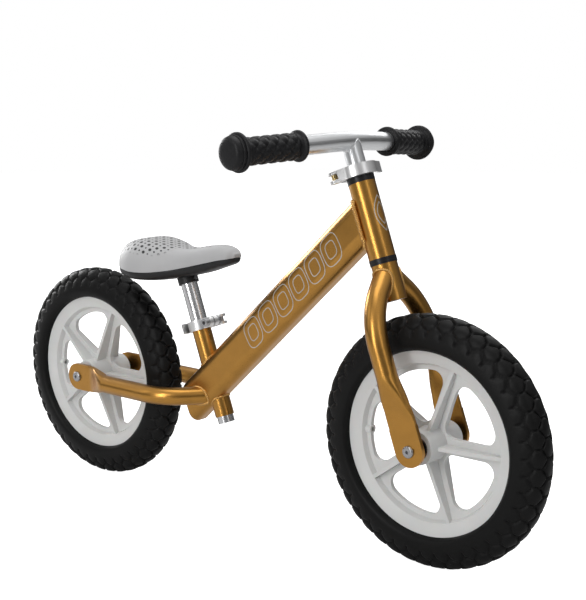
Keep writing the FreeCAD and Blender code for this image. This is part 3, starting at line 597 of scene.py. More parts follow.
def blank_material(name: str) -> tuple[bpy.types.Material, NodeSheet, bpy.types.Node, Socket]:
    """A material with its shader and a place to read patterns from.

    Args:
        name: The material's name.

    Returns:
        The material, its node builder, its shader node and the socket of the object's coordinates.
    """
    material = bpy.data.materials.new(name)
    material.use_nodes = True
    sheet = NodeSheet(material.node_tree)
    shader = next(n for n in material.node_tree.nodes if n.type == "BSDF_PRINCIPLED")
    place = sheet.add("ShaderNodeTexCoord").outputs["Object"]
    return material, sheet, shader, place


def relief(sheet: NodeSheet, shader: bpy.types.Node, height: Socket, strength: float, distance: float) -> None:
    """Turn a height into a shading normal.

    Args:
        sheet: The material's node builder.
        shader: The material's shader node.
        height: Socket of the height.
        strength: How much of the relief shows.
        distance: Depth of the relief in metres.
    """
    bump = sheet.add("ShaderNodeBump")
    bump.inputs["Strength"].default_value = strength
    bump.inputs["Distance"].default_value = distance
    sheet.feed(bump.inputs["Height"], height)
    sheet.feed(shader.inputs["Normal"], bump.outputs["Normal"])


class Finish(Enum):
    """Every finish on the bike."""

    GOLD = Metal("gold_anodised", (0.50, 0.246, 0.045), 0.30, grain=0.004, scale=1500.0, marks=0.15, coat=0.36)
    GOLD_WELD = Metal("gold_weld", (0.64, 0.37, 0.11), 0.34, grain=0.05, scale=900.0, coat=0.4)
    BAR_ALLOY = Metal(
        "satin_bar_alloy", (0.76, 0.77, 0.78), 0.33, grain=0.003, marks=0.1, brushing=Brushing.ACROSS_BIKE,
    )
    POST_ALLOY = Metal("polished_alloy", (0.68, 0.68, 0.69), 0.25, grain=0.003, marks=0.1, brushing=Brushing.UP_POST)
    CLAMP_ALLOY = Metal("satin_clamp_alloy", (0.82, 0.82, 0.82), 0.36, grain=0.003, marks=0.1)
    STEEL = Metal("bright_steel", (0.42, 0.42, 0.43), 0.28, grain=0.01)
    BRASS = Metal("brass", (0.62, 0.47, 0.22), 0.28, grain=0.01)
    BLACK_ALLOY = Metal("black_alloy", (0.020, 0.020, 0.022), 0.36, metallic=0.6, marks=0.3)
    PRINT = Metal("silver_print", (0.56, 0.53, 0.47), 0.45, metallic=0.4, grain=0.02)
    WHEEL = Moulded(
        "wheel_plastic", (0.70, 0.70, 0.69), 0.40, grain=0.06, depth=0.0002, marks=0.15, subsurface=0.05, mottle=0.015,
    )
    TYRE = Moulded(
        "tyre_foam", (0.006, 0.006, 0.006), 0.45, scale=1100.0, grain=0.2, marks=0.3, dusty=0.01, specular=0.14,
    )
    RUBBER = Moulded(
        "grip_rubber", (0.008, 0.008, 0.009), 0.46, scale=1700.0, grain=0.2, marks=0.3, dusty=0.01, specular=0.26,
    )
    BASE = Moulded("black_plastic", (0.009, 0.009, 0.010), 0.44, scale=1500.0, grain=0.25, dusty=0.03, specular=0.4)
    SEAL = Moulded("seal_rubber", (0.012, 0.012, 0.012), 0.45, dusty=0.03)
    SADDLE = PiercedSkin(
        "saddle_skin", (0.44, 0.44, 0.445), 0.5, scale=1800.0, grain=0.25, marks=0.25, sheen=0.1, mottle=0.02,
    )


class Wardrobe:
    """Makes each finish's material once and dresses pieces in them."""

    def __init__(self) -> None:
        """Make the shared groups and every material."""
        effects = Effects()
        self.materials = {finish: finish.value.material(effects) for finish in Finish}

    def dress(self, piece: bpy.types.Object, finish: Finish) -> None:
        """Give a new piece one finish all over."""
        piece.data.materials.clear()
        piece.data.materials.append(self.materials[finish])

    def dress_node(self, node: str, finish: Finish) -> None:
        """Give a carried-over piece of the model a finish."""
        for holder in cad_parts[node].material_slots:
            holder.material = self.materials[finish]


@dataclass
class Assembly:
    """A group of pieces that ride on one body."""

    wardrobe: Wardrobe

    def fit(self, piece: bpy.types.Object, body: str, finish: Finish, slot: str, *replaced: str) -> bpy.types.Object:
        """Hang a new piece on a body and dress it.

        Args:
            piece: The new object.
            body: Name of the body it moves with.
            finish: Its finish.
            slot: Name of the material slot it stands in; not used.
            replaced: Nodes that it stands for.

        Returns:
            The same object.
        """
        self.wardrobe.dress(piece, finish)
        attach(piece, body)
        if replaced:
            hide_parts(*replaced)
        LOG.info("%s rides on %s, %d faces", piece.name, body, len(piece.data.polygons))
        return piece


# ---------------------------------------------------------------- wheels
@dataclass
class Wheel(Assembly):
    """One wheel: moulded rim and foam tyre with a honeycomb tread."""

    end: str
    centre_x: float
    radius: float = 0.150
    depth: float = 0.0409
    half_width: float = 0.0237
    rim_half_width: float = 0.0141
    rim_lip: float = 0.0017
    channel_half: float = 0.0099
    channel_depth: float = 0.0081
    cells: int = 42
    steps_per_cell: int = 20
    section_steps: int = 84
    row_gap: float = 0.0172
    groove: float = 0.0015
    groove_depth: float = 0.0028
    tread_reach: float = 0.038
    cell_dome: float = 0.0007
    shoulder: tuple[tuple[float, float], ...] = (
        (0.0, 0.0), (0.19, 0.005), (0.37, 0.032), (0.61, 0.125), (0.79, 0.279), (0.92, 0.496),
        (0.985, 0.68), (1.0, 0.80), (0.965, 0.895), (0.84, 0.975),
    )

    def section(self) -> tuple[Array, Array]:
        """Outer outline of the tyre.

        A Catmull-Rom curve through the shoulder's points, mirrored about the tread's middle.

        Returns:
            Points as (sideways, radius) and the distance of each from the tread's middle along
            the outline, negative on the right.
        """
        left = np.array(self.shoulder) * [self.half_width, -self.depth] + [0.0, self.radius]
        both = np.vstack([left[:0:-1] * [-1.0, 1.0], left])
        outline = spline(both, self.section_steps)
        run = np.concatenate([[0.0], np.cumsum(np.linalg.norm(np.diff(outline, axis=0), axis=1))])
        return outline, run - run[-1] / 2

    def tread(self, around: Array, across: Array) -> Array:
        """Depth of the honeycomb grooves.

        Cell centres lie on two square lattices, one shifted by half a step each way. A groove runs
        where a place is as far from its nearest centre as from the second nearest.

        Args:
            around: Distance round the tyre.
            across: Distance from the tread's middle.

        Returns:
            Depth at each place, fading out on the sidewall.
        """
        pitch = 2 * math.pi * self.radius / self.cells
        far = []
        for row in (-3, -2, -1, 0, 1, 2, 3):
            shift = 0.5 * pitch * (row % 2)
            offset = (around - shift + 0.5 * pitch) % pitch - 0.5 * pitch
            for near in (-pitch, 0.0, pitch):
                far.append(np.hypot(offset - near, across - row * self.row_gap))
        first, second = np.sort(np.stack(far), axis=0)[:2]
        border = (second - first) / 2
        line = 1.0 - ease((border - self.groove * 0.35) / (self.groove * 0.9))
        fade = 1.0 - ease((np.abs(across) - self.tread_reach + 0.004) / 0.004)
        crown = 1.0 - ease((np.abs(across) - 0.004) / 0.02) * 0.35
        dome = self.cell_dome * ease(first / (0.5 * pitch)) * fade
        return self.groove_depth * line * fade * crown + dome

    def tyre_mesh(self) -> bpy.types.Object:
        """The tyre: its section turned round the axle, sunk along the section's normal by the tread."""
        outline, across = self.section()
        slope = np.gradient(outline, axis=0)
        outward = unit(np.stack([-slope[:, 1], slope[:, 0]], axis=1))
        angles = np.linspace(0.0, 2 * math.pi, self.cells * self.steps_per_cell, endpoint=False)
        around, side = np.meshgrid(angles * self.radius, across, indexing="ij")
        sunk = outline[None] - outward[None] * self.tread(around, side)[..., None]
        rim_edge = self.radius - self.depth
        seat = np.array([
            (self.rim_half_width, rim_edge), (self.rim_half_width - self.rim_lip, rim_edge - self.rim_lip),
            (self.channel_half, rim_edge - self.channel_depth),
            (-self.channel_half, rim_edge - self.channel_depth),
            (self.rim_lip - self.rim_half_width, rim_edge - self.rim_lip), (-self.rim_half_width, rim_edge),
        ])
        inner = np.broadcast_to(seat, (len(angles),) + seat.shape)
        rings = np.concatenate([sunk, inner], axis=1)
        turn = angles[:, None]
        grid = np.stack([
            self.centre_x + rings[..., 1] * np.cos(turn), rings[..., 0], self.radius + rings[..., 1] * np.sin(turn),
        ], axis=-1)
        return surface(f"{self.end}_tyre_tread", grid, True, True, 60.0)

    def build(self) -> None:
        """Make and dress the wheel."""
        body = f"{self.end}_wheel"
        self.fit(self.tyre_mesh(), body, Finish.TYRE, "tyre_foam", f"{self.end}_tyre")
        self.wardrobe.dress_node(f"{self.end}_rim", Finish.WHEEL)
        self.wardrobe.dress_node(f"{self.end}_bearing_seals", Finish.SEAL)
        for part in ("bearing_outer_rings", "bearing_balls", "bearing_inner_rings", "hub_sleeve", "axle", "axle_bolts"):
            self.wardrobe.dress_node(f"{self.end}_{part}", Finish.STEEL)
        self.wardrobe.dress_node(f"{self.end}_axle_spacers", Finish.BLACK_ALLOY)


# ---------------------------------------------------------------- welds
@dataclass
class WeldBead(Assembly):
    """A stitched weld bead along a closed seam."""

    name: str
    body: str
    seam: Array
    radius: float = 0.0017
    stitch: float = 0.0021
    ripple: float = 0.22
    finish: Finish = Finish.GOLD_WELD
    slot: str = "frame_gold"
    round_steps: int = 10
    steps_per_stitch: int = 6

    def build(self) -> None:
        """Make the bead.

        Its radius is the bead's own times one less a ripple, where the ripple is the fourth power
        of the sine of half the stitch angle, so that each stitch is a rounded lump.
        """
        stitches = max(8, round(loop_length(self.seam) / self.stitch))
        line = evenly(self.seam, stitches * self.steps_per_stitch)
        along = unit(np.roll(line, -1, axis=0) - np.roll(line, 1, axis=0))
        out = line - line.mean(axis=0)
        out = unit(out - (out * along).sum(axis=1, keepdims=True) * along)
        other = np.cross(along, out)
        phase = np.arange(len(line)) / self.steps_per_stitch * math.pi
        radius = self.radius * (1.0 - self.ripple * np.sin(phase) ** 4)
        turn = np.linspace(0.0, 2 * math.pi, self.round_steps, endpoint=False)
        circle = np.cos(turn)[None, :, None] * out[:, None] + np.sin(turn)[None, :, None] * other[:, None]
        grid = line[:, None] + circle * radius[:, None, None]
        self.fit(surface(self.name, grid, True, True), self.body, self.finish, self.slot)


@dataclass(frozen=True)
class Seams:
    """Where the frame's tubes meet."""

    layout: Layout = field(default_factory=Layout)
    main_half_height: float = 0.0255
    main_half_width: float = 0.0185
    main_round: float = 0.014
    head_radius: float = 0.0159
    side_stop: float = 0.008
    seat_radius: float = 0.0127
    leg_radius: float = 0.0125
    leg_bend: float = 0.083
    leg_angle: float = math.radians(46.7)
    leg_bend_at: float = 0.120
    leg_centre: float = 0.0515
    crown_radius: float = 0.0155
    stay_radius: float = 0.012
    stay_angle: float = math.radians(49.9)
    stay_meets: tuple[float, float, float] = (-0.05935, 0.0, 0.150)
    bar_radius: float = 0.0111
    steps: int = 240

    def inside_main(self, points: Array) -> Array:
        """Signed distance to the main tube, negative inside."""
        return self.inside_section(self.layout.main().measure(points)[..., :2])

    def inside_section(self, flat: Array) -> Array:
        """Signed distance in the plane to the main tube's rounded box section."""
        past = np.abs(flat) - np.array([self.main_half_height, self.main_half_width]) + self.main_round
        return np.linalg.norm(np.maximum(past, 0.0), axis=-1) + np.minimum(past.max(axis=-1), 0.0) - self.main_round

    def inside_crown(self, points: Array) -> Array:
        """Signed distance to the crown's cylinder, negative inside."""
        local = self.layout.fork().measure(points)
        return np.linalg.norm(local[..., :2], axis=-1) - self.crown_radius

    @staticmethod
    def march(start: Array, direction: Array, field_at: Callable[[Array], Array], reach: float) -> Array:
        """Where straight lines enter a solid.

        Each line's length is halved towards the change of sign thirty times.

        Args:
            start: Points outside the solid.
            direction: Unit direction that all the lines share.
            field_at: Signed distance, negative inside.
            reach: Longest length tried.

        Returns:
            One point on the solid's surface for each start.
        """
        low, high = np.zeros(len(start)), np.full(len(start), reach)
        for _ in range(30):
            middle = (low + high) / 2
            inside = field_at(start + middle[:, None] * direction) < 0
            high, low = np.where(inside, middle, high), np.where(inside, low, middle)
        return start + low[:, None] * direction

    def ring(self, centre: Array, first: Array, second: Array, radius: float) -> Array:
        """Circle of points in the plane of two unit directions."""
        turn = np.linspace(0.0, 2 * math.pi, self.steps, endpoint=False)[:, None]
        return centre + radius * (np.cos(turn) * first + np.sin(turn) * second)

    def seat_tube(self, above: bool) -> Array:
        """Seam of the seat tube on the main tube's upper or lower side."""
        axes = self.layout.seat()
        sign = 1.0 if above else -1.0
        centre = axes.place(np.array([0.0, 0.0, sign * 0.075]))
        return self.march(self.ring(centre, FORWARD, SIDE, self.seat_radius), -sign * UP_AXIS, self.inside_main, 0.075)

    def fork_leg(self, side: float) -> Array:
        """Seam of a fork leg on the crown, the leg's end running in at its bend's angle."""
        axes = self.layout.fork()
        c, s = math.cos(self.leg_angle), math.sin(self.leg_angle)
        out, up = self.leg_centre - self.leg_bend * (1 - c), self.leg_bend_at + self.leg_bend * s
        leave = np.array([0.0, side * out, up])
        inward = side * -s * SIDE + c * UP_AXIS
        across = side * c * SIDE + s * UP_AXIS
        circle = self.ring(axes.place(leave) - inward * 0.002, FORWARD, across, self.leg_radius)
        return self.march(circle, inward, self.inside_crown, 0.04)

    def stay(self, side: float) -> Array:
        """Seam of a rear stay on the side of the main tube."""
        c, s = math.cos(self.stay_angle), math.sin(self.stay_angle)
        inward = np.array([c, -side * s, 0.0])
        across = np.array([s, side * c, 0.0])
        centre = np.array(self.stay_meets) - inward * 0.05
        circle = self.ring(centre, np.array([0.0, 0.0, 1.0]), across, self.stay_radius)
        return self.march(circle, inward, self.inside_main, 0.05)

    def head_tube(self) -> Array:
        """Seam of the main tube on the head tube.

        The main tube's outline runs up the tube to the head tube's cylinder, and on its flat sides
        to where the side walls stop.
        """
        turn = np.linspace(0.0, 2 * math.pi, self.steps * 2, endpoint=False)
        rays = np.column_stack([np.cos(turn), np.sin(turn)])
        reach = 2 * self.main_half_height
        outline = self.march(np.zeros_like(rays), rays, lambda flat: -self.inside_section(flat), reach)
        outline[:, 1] = np.clip(outline[:, 1], -0.0164, 0.0164)
        main, head = self.layout.main(), self.layout.head()
        limit = math.sqrt(self.head_radius**2 - self.side_stop**2)
        on_tube = np.sqrt(np.maximum(self.head_radius**2 - outline[:, 1] ** 2, self.side_stop**2))
        target = -np.where(np.abs(outline[:, 1]) < limit, on_tube, self.side_stop)
        base = main.place(np.column_stack([outline, np.zeros(len(outline))]))
        rate = float(np.array(main.z) @ FORWARD)
        climb = (target - head.measure(base)[:, 0]) / rate
        return base + climb[:, None] * np.array(main.z)

    def stem(self) -> Array:
        """Seam of the stem under the handlebar: the stem's circle raised to the bar's cylinder."""
        head = self.layout.head()
        circle = self.ring(np.zeros(3), np.array([1.0, 0.0, 0.0]), SIDE, self.bar_radius * 0.995)
        drop = np.sqrt(np.maximum(self.bar_radius**2 - circle[:, 0] ** 2, 0.0))
        return head.place(np.column_stack([circle[:, :2], self.layout.bar_up_head - drop]))


@dataclass
class Welds(Assembly):
    """Every weld bead on the bike."""

    seams: Seams = field(default_factory=Seams)

    def build(self) -> None:
        """Make the beads of the frame, the fork and the stem."""
        frame_beads = {
            "weld_head_tube": (self.seams.head_tube(), 0.0028),
            "weld_seat_tube_upper": (self.seams.seat_tube(True), 0.0016),
            "weld_seat_tube_lower": (self.seams.seat_tube(False), 0.0016),
            "weld_stay_left": (self.seams.stay(1.0), 0.0018),
            "weld_stay_right": (self.seams.stay(-1.0), 0.0018),
        }
        for name, (seam, radius) in frame_beads.items():
            WeldBead(self.wardrobe, name, "frame", seam, radius).build()
        for name, side in (("weld_leg_left", 1.0), ("weld_leg_right", -1.0)):
            WeldBead(self.wardrobe, name, "fork", self.seams.fork_leg(side), 0.0018).build()
        WeldBead(
            self.wardrobe, "weld_stem", "handlebar", self.seams.stem(), 0.0008, 0.0012, 0.1,
            Finish.BAR_ALLOY, "silver_alloy",
        ).build()


# ---------------------------------------------------------------- printed outlines
@dataclass
class Print(Assembly):
    """A thin printed line along a closed loop on a surface."""

    name: str
    loop: Array
    normals: Array
    width: float = 0.0011
    proud: float = 0.00012
    sunk: float = 0.0001

    def build(self) -> None:
        """Make the line: a flat four-cornered section carried round the loop, square to the surface."""
        along = unit(np.roll(self.loop, -1, axis=0) - np.roll(self.loop, 1, axis=0))
        across = np.cross(along, self.normals) * self.width / 2
        high, low = self.normals * self.proud, self.normals * self.sunk
        first, second = self.loop + across, self.loop - across
        grid = np.stack([first + high, second + high, second - low, first - low], axis=1)
        self.fit(surface(self.name, grid, True, True, 30.0), "frame", Finish.PRINT, "silver_alloy")


@dataclass
class Outlines(Assembly):
    """Plain outlined shapes on the main tube's sides and the head tube's front."""

    seams: Seams = field(default_factory=Seams)
    shapes: int = 6
    first: float = 0.168
    spacing: float = 0.0335
    half_long: float = 0.0150
    half_tall: float = 0.0165
    slant: float = 0.22
    steps: int = 120

    def main_side(self, name: str, centre: float, size: float, side: float) -> None:
        """One slanted rounded outline on a side of the main tube.

        The outline is a superellipse of power 3.2, slanted along the tube, and laid on the tube's
        flat side and its rounded edges.

        Args:
            name: Name of the printed line.
            centre: Distance up the main tube of the shape's middle.
            size: Share of the full size.
            side: 1 for the rider's left and -1 for the right.
        """
        turn = np.linspace(0.0, 2 * math.pi, self.steps, endpoint=False)
        power = 2.0 / 3.2
        long = np.sign(np.cos(turn)) * np.abs(np.cos(turn)) ** power * self.half_long * size
        tall = np.sign(np.sin(turn)) * np.abs(np.sin(turn)) ** power * self.half_tall * size
        flat = self.seams.main_half_height - self.seams.main_round
        past = np.maximum(np.abs(tall) - flat, 0.0)
        rise = np.sqrt(self.seams.main_round**2 - past**2)
        out = self.seams.main_half_width - self.seams.main_round + rise
        local = np.column_stack([tall, side * out, centre + long - self.slant * tall])
        lean = np.column_stack([np.sign(tall) * past, side * rise, np.zeros(self.steps)]) / self.seams.main_round
        axes = self.seams.layout.main()
        Print(self.wardrobe, name, axes.place(local), unit(axes.place(lean) - np.array(axes.origin))).build()

    def head_lens(self, name: str, size: float) -> None:
        """An upright lens outline wrapped on the front of the head tube.

        Args:
            name: Name of the printed line.
            size: Share of the full size.
        """
        turn = np.linspace(0.0, 2 * math.pi, self.steps, endpoint=False)
        tall = 0.050 + 0.021 * size * np.cos(turn)
        wide = 0.0098 * size * np.sign(np.sin(turn)) * np.sin(turn) ** 2
        angle = wide / self.seams.head_radius
        out = np.column_stack([np.cos(angle), np.sin(angle), np.zeros(self.steps)])
        local = out * self.seams.head_radius
        local[:, 2] = tall
        axes = self.seams.layout.head()
        Print(self.wardrobe, name, axes.place(local), unit(axes.place(out) - np.array(axes.origin))).build()

    def build(self) -> None:
        """Print both sides of the main tube and the head tube."""
        for side, word in ((1.0, "left"), (-1.0, "right")):
            for number in range(self.shapes):
                centre = self.first + number * self.spacing
                self.main_side(f"print_{word}_{number}", centre, 1.0, side)
                self.main_side(f"print_{word}_inner_{number}", centre, 0.55, side)
        self.head_lens("print_head_outer", 1.0)
        self.head_lens("print_head_inner", 0.62)


# ---------------------------------------------------------------- handlebar
@dataclass
class Grip(Assembly):
    """A rubber grip with staggered raised lenses."""

    side: float
    layout: Layout = field(default_factory=Layout)
    sweep: float = math.radians(8.5)
    bend: float = 0.336
    start: float = 0.0823
    bore: float = 0.01115
    wall: float = 0.004
    body_from: float = 0.0095
    body_to: float = 0.0825
    lens_pitch: float = 0.0142
    lens_count: int = 6
    lens_radius: float = 0.0068
    lens_height: float = 0.0023
    round_steps: int = 120
    profile: tuple[tuple[float, float], ...] = (
        (0.0, 11.2), (0.0, 15.2), (0.5, 16.6), (1.5, 17.5), (2.6, 17.65), (3.7, 17.5), (4.6, 16.6),
        (5.3, 15.0), (6.2, 14.1), (8.0, 13.5), (9.0, 13.4), (83.0, 13.4), (84.6, 14.2),
        (85.6, 15.8), (86.2, 18.6), (86.9, 20.6), (88.2, 21.55),
        (90.2, 21.6), (91.2, 21.0), (91.7, 20.0), (91.9, 18.6), (92.6, 18.5), (92.9, 19.3), (95.0, 19.35),
        (95.5, 18.9), (95.7, 17.9), (96.2, 17.9), (96.5, 18.5), (99.0, 18.15), (101.0, 17.3), (102.5, 16.0),
        (103.4, 14.0), (103.8, 11.0), (103.9, 6.0), (103.9, 0.02),
    )

    def lenses(self, along: Array, turn: Array) -> Array:
        """Height of the raised lenses.

        Each lens is a paraboloid: its height times one less the square of the distance from its
        centre over its radius. Rings of lenses are turned by half a step from each other.

        Args:
            along: Distance from the grip's inner face.
            turn: Angle round the grip.

        Returns:
            Height at each place.
        """
        ring = np.round((along - self.body_from) / self.lens_pitch * 2)
        step = 2 * math.pi / self.lens_count
        height = np.zeros(np.broadcast(along, turn).shape)
        for shift in (-1, 0, 1):
            at = ring + shift
            offset = (turn - (at % 2) * step / 2 + step / 2) % step - step / 2
            away = np.hypot(along - self.body_from - at * self.lens_pitch / 2, offset * 0.0134)
            height = np.maximum(height, self.lens_height * np.maximum(0.0, 1.0 - (away / self.lens_radius) ** 2))
        fade = ease((along - self.body_from + 0.001) / 0.005) * ease((self.body_to - along) / 0.005)
        return height * fade

    def build(self) -> None:
        """Make the grip: its profile turned about the bar's end, with the lenses added outwards."""
        corners = np.array(self.profile) * MM
        fine = np.linspace(corners[10, 0], corners[11, 0], 110)
        body = np.column_stack([fine, np.full(len(fine), corners[10, 1])])
        outline = np.vstack([corners[:10], body, corners[12:]])
        end = corners[-1, 0] - self.wall
        inner = np.array([(end, 0.02 * MM), (end, self.bore), (0.0, self.bore)])
        turn = np.linspace(0.0, 2 * math.pi, self.round_steps, endpoint=False)
        along = np.repeat(outline[:, :1], len(turn), axis=1)
        radius = outline[:, 1:] + self.lenses(along, turn[None])
        along = np.vstack([along, np.repeat(inner[:, :1], len(turn), axis=1)])
        radius = np.vstack([radius, np.repeat(inner[:, 1:], len(turn), axis=1)])
        shoulder = np.array([self.bend * (math.cos(self.sweep) - 1), self.bend * math.sin(self.sweep)])
        out = np.array([-math.sin(self.sweep), math.cos(self.sweep)])
        begin = shoulder + out * (self.start - shoulder[1]) / out[1]
        across = np.array([out[1], -out[0]])
        flat = begin + along[..., None] * out + (radius * np.cos(turn))[..., None] * across
        local = np.concatenate([flat, (self.layout.bar_up_head + radius * np.sin(turn))[..., None]], axis=-1)
        local[..., 1] *= self.side
        word = "left" if self.side > 0 else "right"
        piece = surface(f"grip_{word}_moulded", self.layout.head().place(local), True, True, 42.0)
        self.fit(piece, "handlebar", Finish.RUBBER, "grip_rubber", f"grip_{word}")


# ---------------------------------------------------------------- saddle
@dataclass
class Saddle(Assembly):
    """Soft saddle top with pierced rows on its dome and down its middle."""

    mouth_x: float = -0.10606
    mouth_z: float = 0.2951
    square: float = 0.62
    dome: float = 0.85
    length_steps: int = 150
    arch_steps: int = 96
    stations: tuple[tuple[float, float, float, float], ...] = (
        (107.0, 11.0, 24.0, 33.0), (104.0, 23.0, 22.5, 39.0), (96.5, 36.0, 20.5, 47.0), (82.5, 46.0, 18.0, 54.0),
        (59.5, 52.0, 16.0, 57.5), (34.5, 47.0, 16.5, 54.0), (10.5, 35.0, 19.5, 49.0), (-14.5, 26.0, 25.0, 49.0),
        (-44.5, 21.0, 32.5, 54.5), (-66.5, 18.0, 38.0, 56.0), (-79.5, 14.5, 40.5, 53.0), (-86.5, 8.0, 42.0, 48.0),
    )

    def build(self) -> None:
        """Make the pad.

        The stations' half width, seam height and crown height follow a Catmull-Rom curve along the
        saddle. Each section's arch has its sideways place as a power of the cosine and its height
        as a power of the sine, and closes along the seam. Extra shrinking sections round both ends.
        """
        knots = np.array(self.stations) * MM
        line = spline(knots, self.length_steps)
        turn = np.linspace(0.0, math.pi, self.arch_steps)
        cosine = np.sign(np.cos(turn)) * np.abs(np.cos(turn)) ** self.square
        sine = np.abs(np.sin(turn)) ** self.dome
        back, half, seam, top = (line[:, k:k + 1] for k in range(4))
        side = half * cosine[None]
        high = seam + (top - seam) * sine[None]
        under = np.linspace(-1.0, 1.0, 22)[1:-1]
        side = np.hstack([side, half * under[None]])
        high = np.hstack([high, np.repeat(seam, len(under), axis=1)])
        place = np.stack([self.mouth_x - np.repeat(back, side.shape[1], axis=1), side, self.mouth_z + high], axis=-1)
        place = np.concatenate([self.nose_cap(place[0], -0.0018)[::-1], place, self.nose_cap(place[-1], 0.0018)])
        piece = surface("saddle_pad_moulded", place, False, True, 55.0)
        self.mark(piece, place)
        self.fit(piece, "seat", Finish.SADDLE, "saddle_foam", "saddle_pad")

    @staticmethod
    def nose_cap(section: Array, reach: float) -> Array:
        """Sections that round off an end: each shrinks by the cosine and moves out by the sine."""
        middle = section.mean(axis=0)
        angle = np.linspace(0.0, math.pi / 2, 7)[1:-1, None, None]
        shrunk = middle + (section - middle) * np.maximum(np.cos(angle), 0.25)
        return shrunk + np.array([reach, 0.0, 0.0]) * np.sin(angle)

    def mark(self, piece: bpy.types.Object, place: Array) -> None:
        """Store where the skin's holes go.

        The first attribute is the distance along the saddle and across its skin. The second is 1 on
        the rear dome and on a narrow strip down the middle to the nose, and 0 elsewhere.

        Args:
            piece: The pad.
            place: Its grid of points.
        """
        steps = np.linalg.norm(np.diff(place, axis=1), axis=2)
        run = np.concatenate([np.zeros((len(place), 1)), np.cumsum(steps, axis=1)], axis=1)
        across = run - run[:, self.arch_steps // 2][:, None]
        along = place[..., 0] - self.mouth_x
        point_vectors(piece, "skin_place", np.stack([along, across, np.zeros_like(along)], axis=-1).reshape(-1, 3))
        dome = ease((0.050 - np.hypot((along + 0.056) * 0.95, across)) / 0.005)
        strip = ease((0.0095 - np.abs(across)) / 0.002) * ease((along + 0.06) / 0.01) * ease((0.052 - along) / 0.006)
        on_top = np.arange(place.shape[1])[None] < self.arch_steps
        point_values(piece, "pierced_region", np.maximum(dome, strip) * on_top)


# ---------------------------------------------------------------- carried-over metal
@dataclass
class Chassis(Assembly):
    """The carried-over tubes, clamps and fittings."""

    gold: tuple[str, ...] = (
        "main_tube", "head_tube", "seat_tube", "stay_left", "stay_right", "fork_leg_left", "fork_leg_right",
        "fork_crown",
    )
    black: tuple[str, ...] = ("headset_lower_cup", "headset_upper_cup", "headset_crown_race", "headset_top_race")

    def build(self) -> None:
        """Dress every carried-over node of the frame, fork, clamps and saddle."""
        for node in self.gold:
            self.wardrobe.dress_node(node, Finish.GOLD)
        for node in self.black:
            self.wardrobe.dress_node(node, Finish.BLACK_ALLOY)
        for node in ("handlebar", "stem"):
            self.wardrobe.dress_node(node, Finish.BAR_ALLOY)
        self.wardrobe.dress_node("seat_post", Finish.POST_ALLOY)
        for node in ("seat_clamp_collar", "stem_clamp_collar", "seat_clamp_lever", "stem_clamp_lever"):
            self.wardrobe.dress_node(node, Finish.CLAMP_ALLOY)
        for clamp in ("seat_clamp", "stem_clamp"):
            for part in ("nut", "skewer", "washer"):
                self.wardrobe.dress_node(f"{clamp}_{part}", Finish.STEEL)
        self.wardrobe.dress_node("seat_clamp_barrel", Finish.STEEL)
        self.wardrobe.dress_node("stem_clamp_barrel", Finish.BRASS)
        self.wardrobe.dress_node("fork_steerer", Finish.STEEL)
        self.wardrobe.dress_node("saddle_bolt", Finish.STEEL)
        self.wardrobe.dress_node("saddle_base", Finish.BASE)
        LOG.info("carried-over pieces dressed")


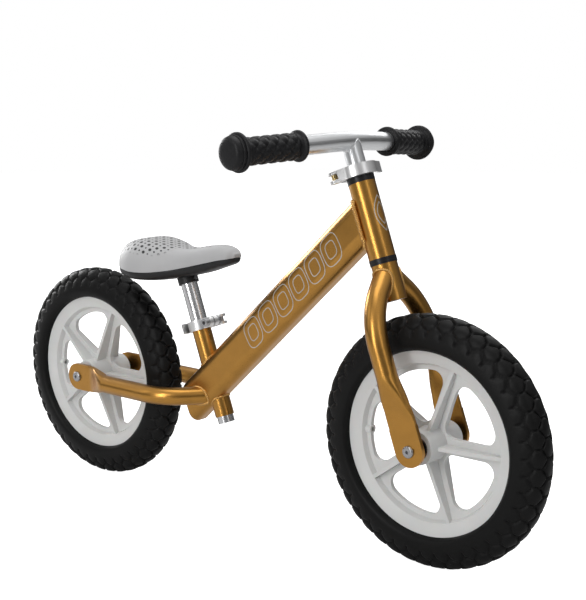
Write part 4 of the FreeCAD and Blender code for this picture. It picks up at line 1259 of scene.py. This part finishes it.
# ---------------------------------------------------------------- studio
@dataclass
class Studio:
    """Pale floor, soft lights and the camera."""

    place: tuple[float, float, float] = (0.98549, -1.10107, 0.54098)
    gaze: tuple[float, float, float] = (-0.62336, 0.75238, -0.21295)
    lens: float = 70.45
    shift: float = 50.0 / 600.0
    floor_glow: float = 0.95
    lights: tuple[tuple[str, tuple[float, float, float], float, float, float], ...] = (
        ("top_soft", (0.0, 0.1, 2.2), 1.5, 1.5, 14.0),
        ("key_strip", (0.1, -2.6, 1.1), 0.45, 1.8, 26.0),
        ("left_soft", (-1.9, -1.9, 1.5), 0.6, 1.8, 4.0),
        ("right_soft", (2.5, -0.6, 1.4), 0.5, 1.6, 4.0),
        ("back_left", (-2.6, 0.4, 0.9), 1.0, 1.2, 34.0),
        ("back_soft", (-0.6, 2.4, 1.7), 1.6, 0.9, 10.0),
    )

    def floor(self) -> None:
        """A wide pale disc under the tyres, a grid of rings and spokes closed into a thin slab."""
        turn = np.linspace(0.0, 2 * math.pi, 96, endpoint=False)
        rings = np.array([(0.01, 0.0), (7.0, 0.0), (7.0, -0.01), (0.01, -0.01)])
        grid = np.stack([
            rings[:, :1] * np.cos(turn), rings[:, :1] * np.sin(turn), np.repeat(rings[:, 1:], len(turn), axis=1),
        ], axis=-1)
        slab = surface("studio_floor", grid, False, True, 30.0)
        material, sheet, shader, place = blank_material("pale_floor")
        pale = colour_mix(sheet, sheet.noise(place, 1.5, 2.0), (0.61, 0.61, 0.61, 1.0), (0.63, 0.63, 0.63, 1.0))
        sheet.feed(shader.inputs["Base Color"], pale)
        shader.inputs["Roughness"].default_value = 0.9
        shader.inputs["Specular IOR Level"].default_value = 0.1
        shader.inputs["Emission Color"].default_value = (1.0, 1.0, 1.0, 1.0)
        seen = sheet.add("ShaderNodeLightPath").outputs["Is Camera Ray"]
        sheet.feed(shader.inputs["Emission Strength"], sheet.math("MULTIPLY", seen, self.floor_glow))
        slab.data.materials.append(material)

    def sky(self) -> None:
        """White seen directly, and darker low down in what the metal reflects."""
        world = bpy.data.worlds.new("studio_world")
        world.use_nodes = True
        sheet = NodeSheet(world.node_tree)
        back = next(n for n in world.node_tree.nodes if n.type == "BACKGROUND")
        split = sheet.add("ShaderNodeSeparateXYZ")
        sheet.feed(split.inputs[0], sheet.add("ShaderNodeTexCoord").outputs["Generated"])
        tone = sheet.spread(split.outputs["Z"], 0.0, 0.85, 0.04, 0.66)
        seen = sheet.add("ShaderNodeLightPath").outputs["Is Camera Ray"]
        level = sheet.math("MAXIMUM", tone, seen)
        sheet.feed(back.inputs["Color"], (1.0, 1.0, 1.0, 1.0))
        sheet.feed(back.inputs["Strength"], level)
        bpy.context.scene.world = world

    def build(self) -> None:
        """Set the floor, world, lights and camera."""
        self.floor()
        self.sky()
        scene = bpy.context.scene
        for name, place, wide, tall, power in self.lights:
            lamp = bpy.data.lights.new(name, "AREA")
            lamp.shape, lamp.size, lamp.size_y, lamp.energy = "RECTANGLE", wide, tall, power
            holder = bpy.data.objects.new(name, lamp)
            holder.location = place
            holder.rotation_euler = facing(np.array([0.0, 0.0, 0.25]) - np.array(place))
            scene.collection.objects.link(holder)
        camera = bpy.data.cameras.new("camera")
        camera.lens, camera.sensor_width, camera.shift_y = self.lens, 36.0, self.shift
        camera.clip_start = 0.05
        holder = bpy.data.objects.new("camera", camera)
        holder.location = self.place
        holder.rotation_euler = facing(np.array(self.gaze))
        scene.collection.objects.link(holder)
        scene.camera = holder
        scene.view_settings.view_transform = "Standard"
        LOG.info("studio set")


def facing(direction: Array) -> tuple[float, float, float]:
    """Turn that points a camera or lamp, which look down their own Z, along a direction.

    Args:
        direction: Where to look, of any length.

    Returns:
        Euler angles about X, Y and Z: the tilt from straight down, nothing, and the bearing.
    """
    x, y, z = unit(direction)
    return math.acos(-z), 0.0, math.atan2(y, x) - math.pi / 2


def main() -> None:
    """Build every assembly in order."""
    logging.basicConfig(level=logging.INFO, format="%(name)s: %(message)s")
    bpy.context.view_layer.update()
    wardrobe = Wardrobe()
    layout = Layout()
    Chassis(wardrobe).build()
    Wheel(wardrobe, "front", layout.half_base).build()
    Wheel(wardrobe, "rear", -layout.half_base).build()
    Welds(wardrobe).build()
    Outlines(wardrobe).build()
    Grip(wardrobe, 1.0).build()
    Grip(wardrobe, -1.0).build()
    Saddle(wardrobe).build()
    Studio().build()
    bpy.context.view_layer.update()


if __name__ == "__main__":
    main()
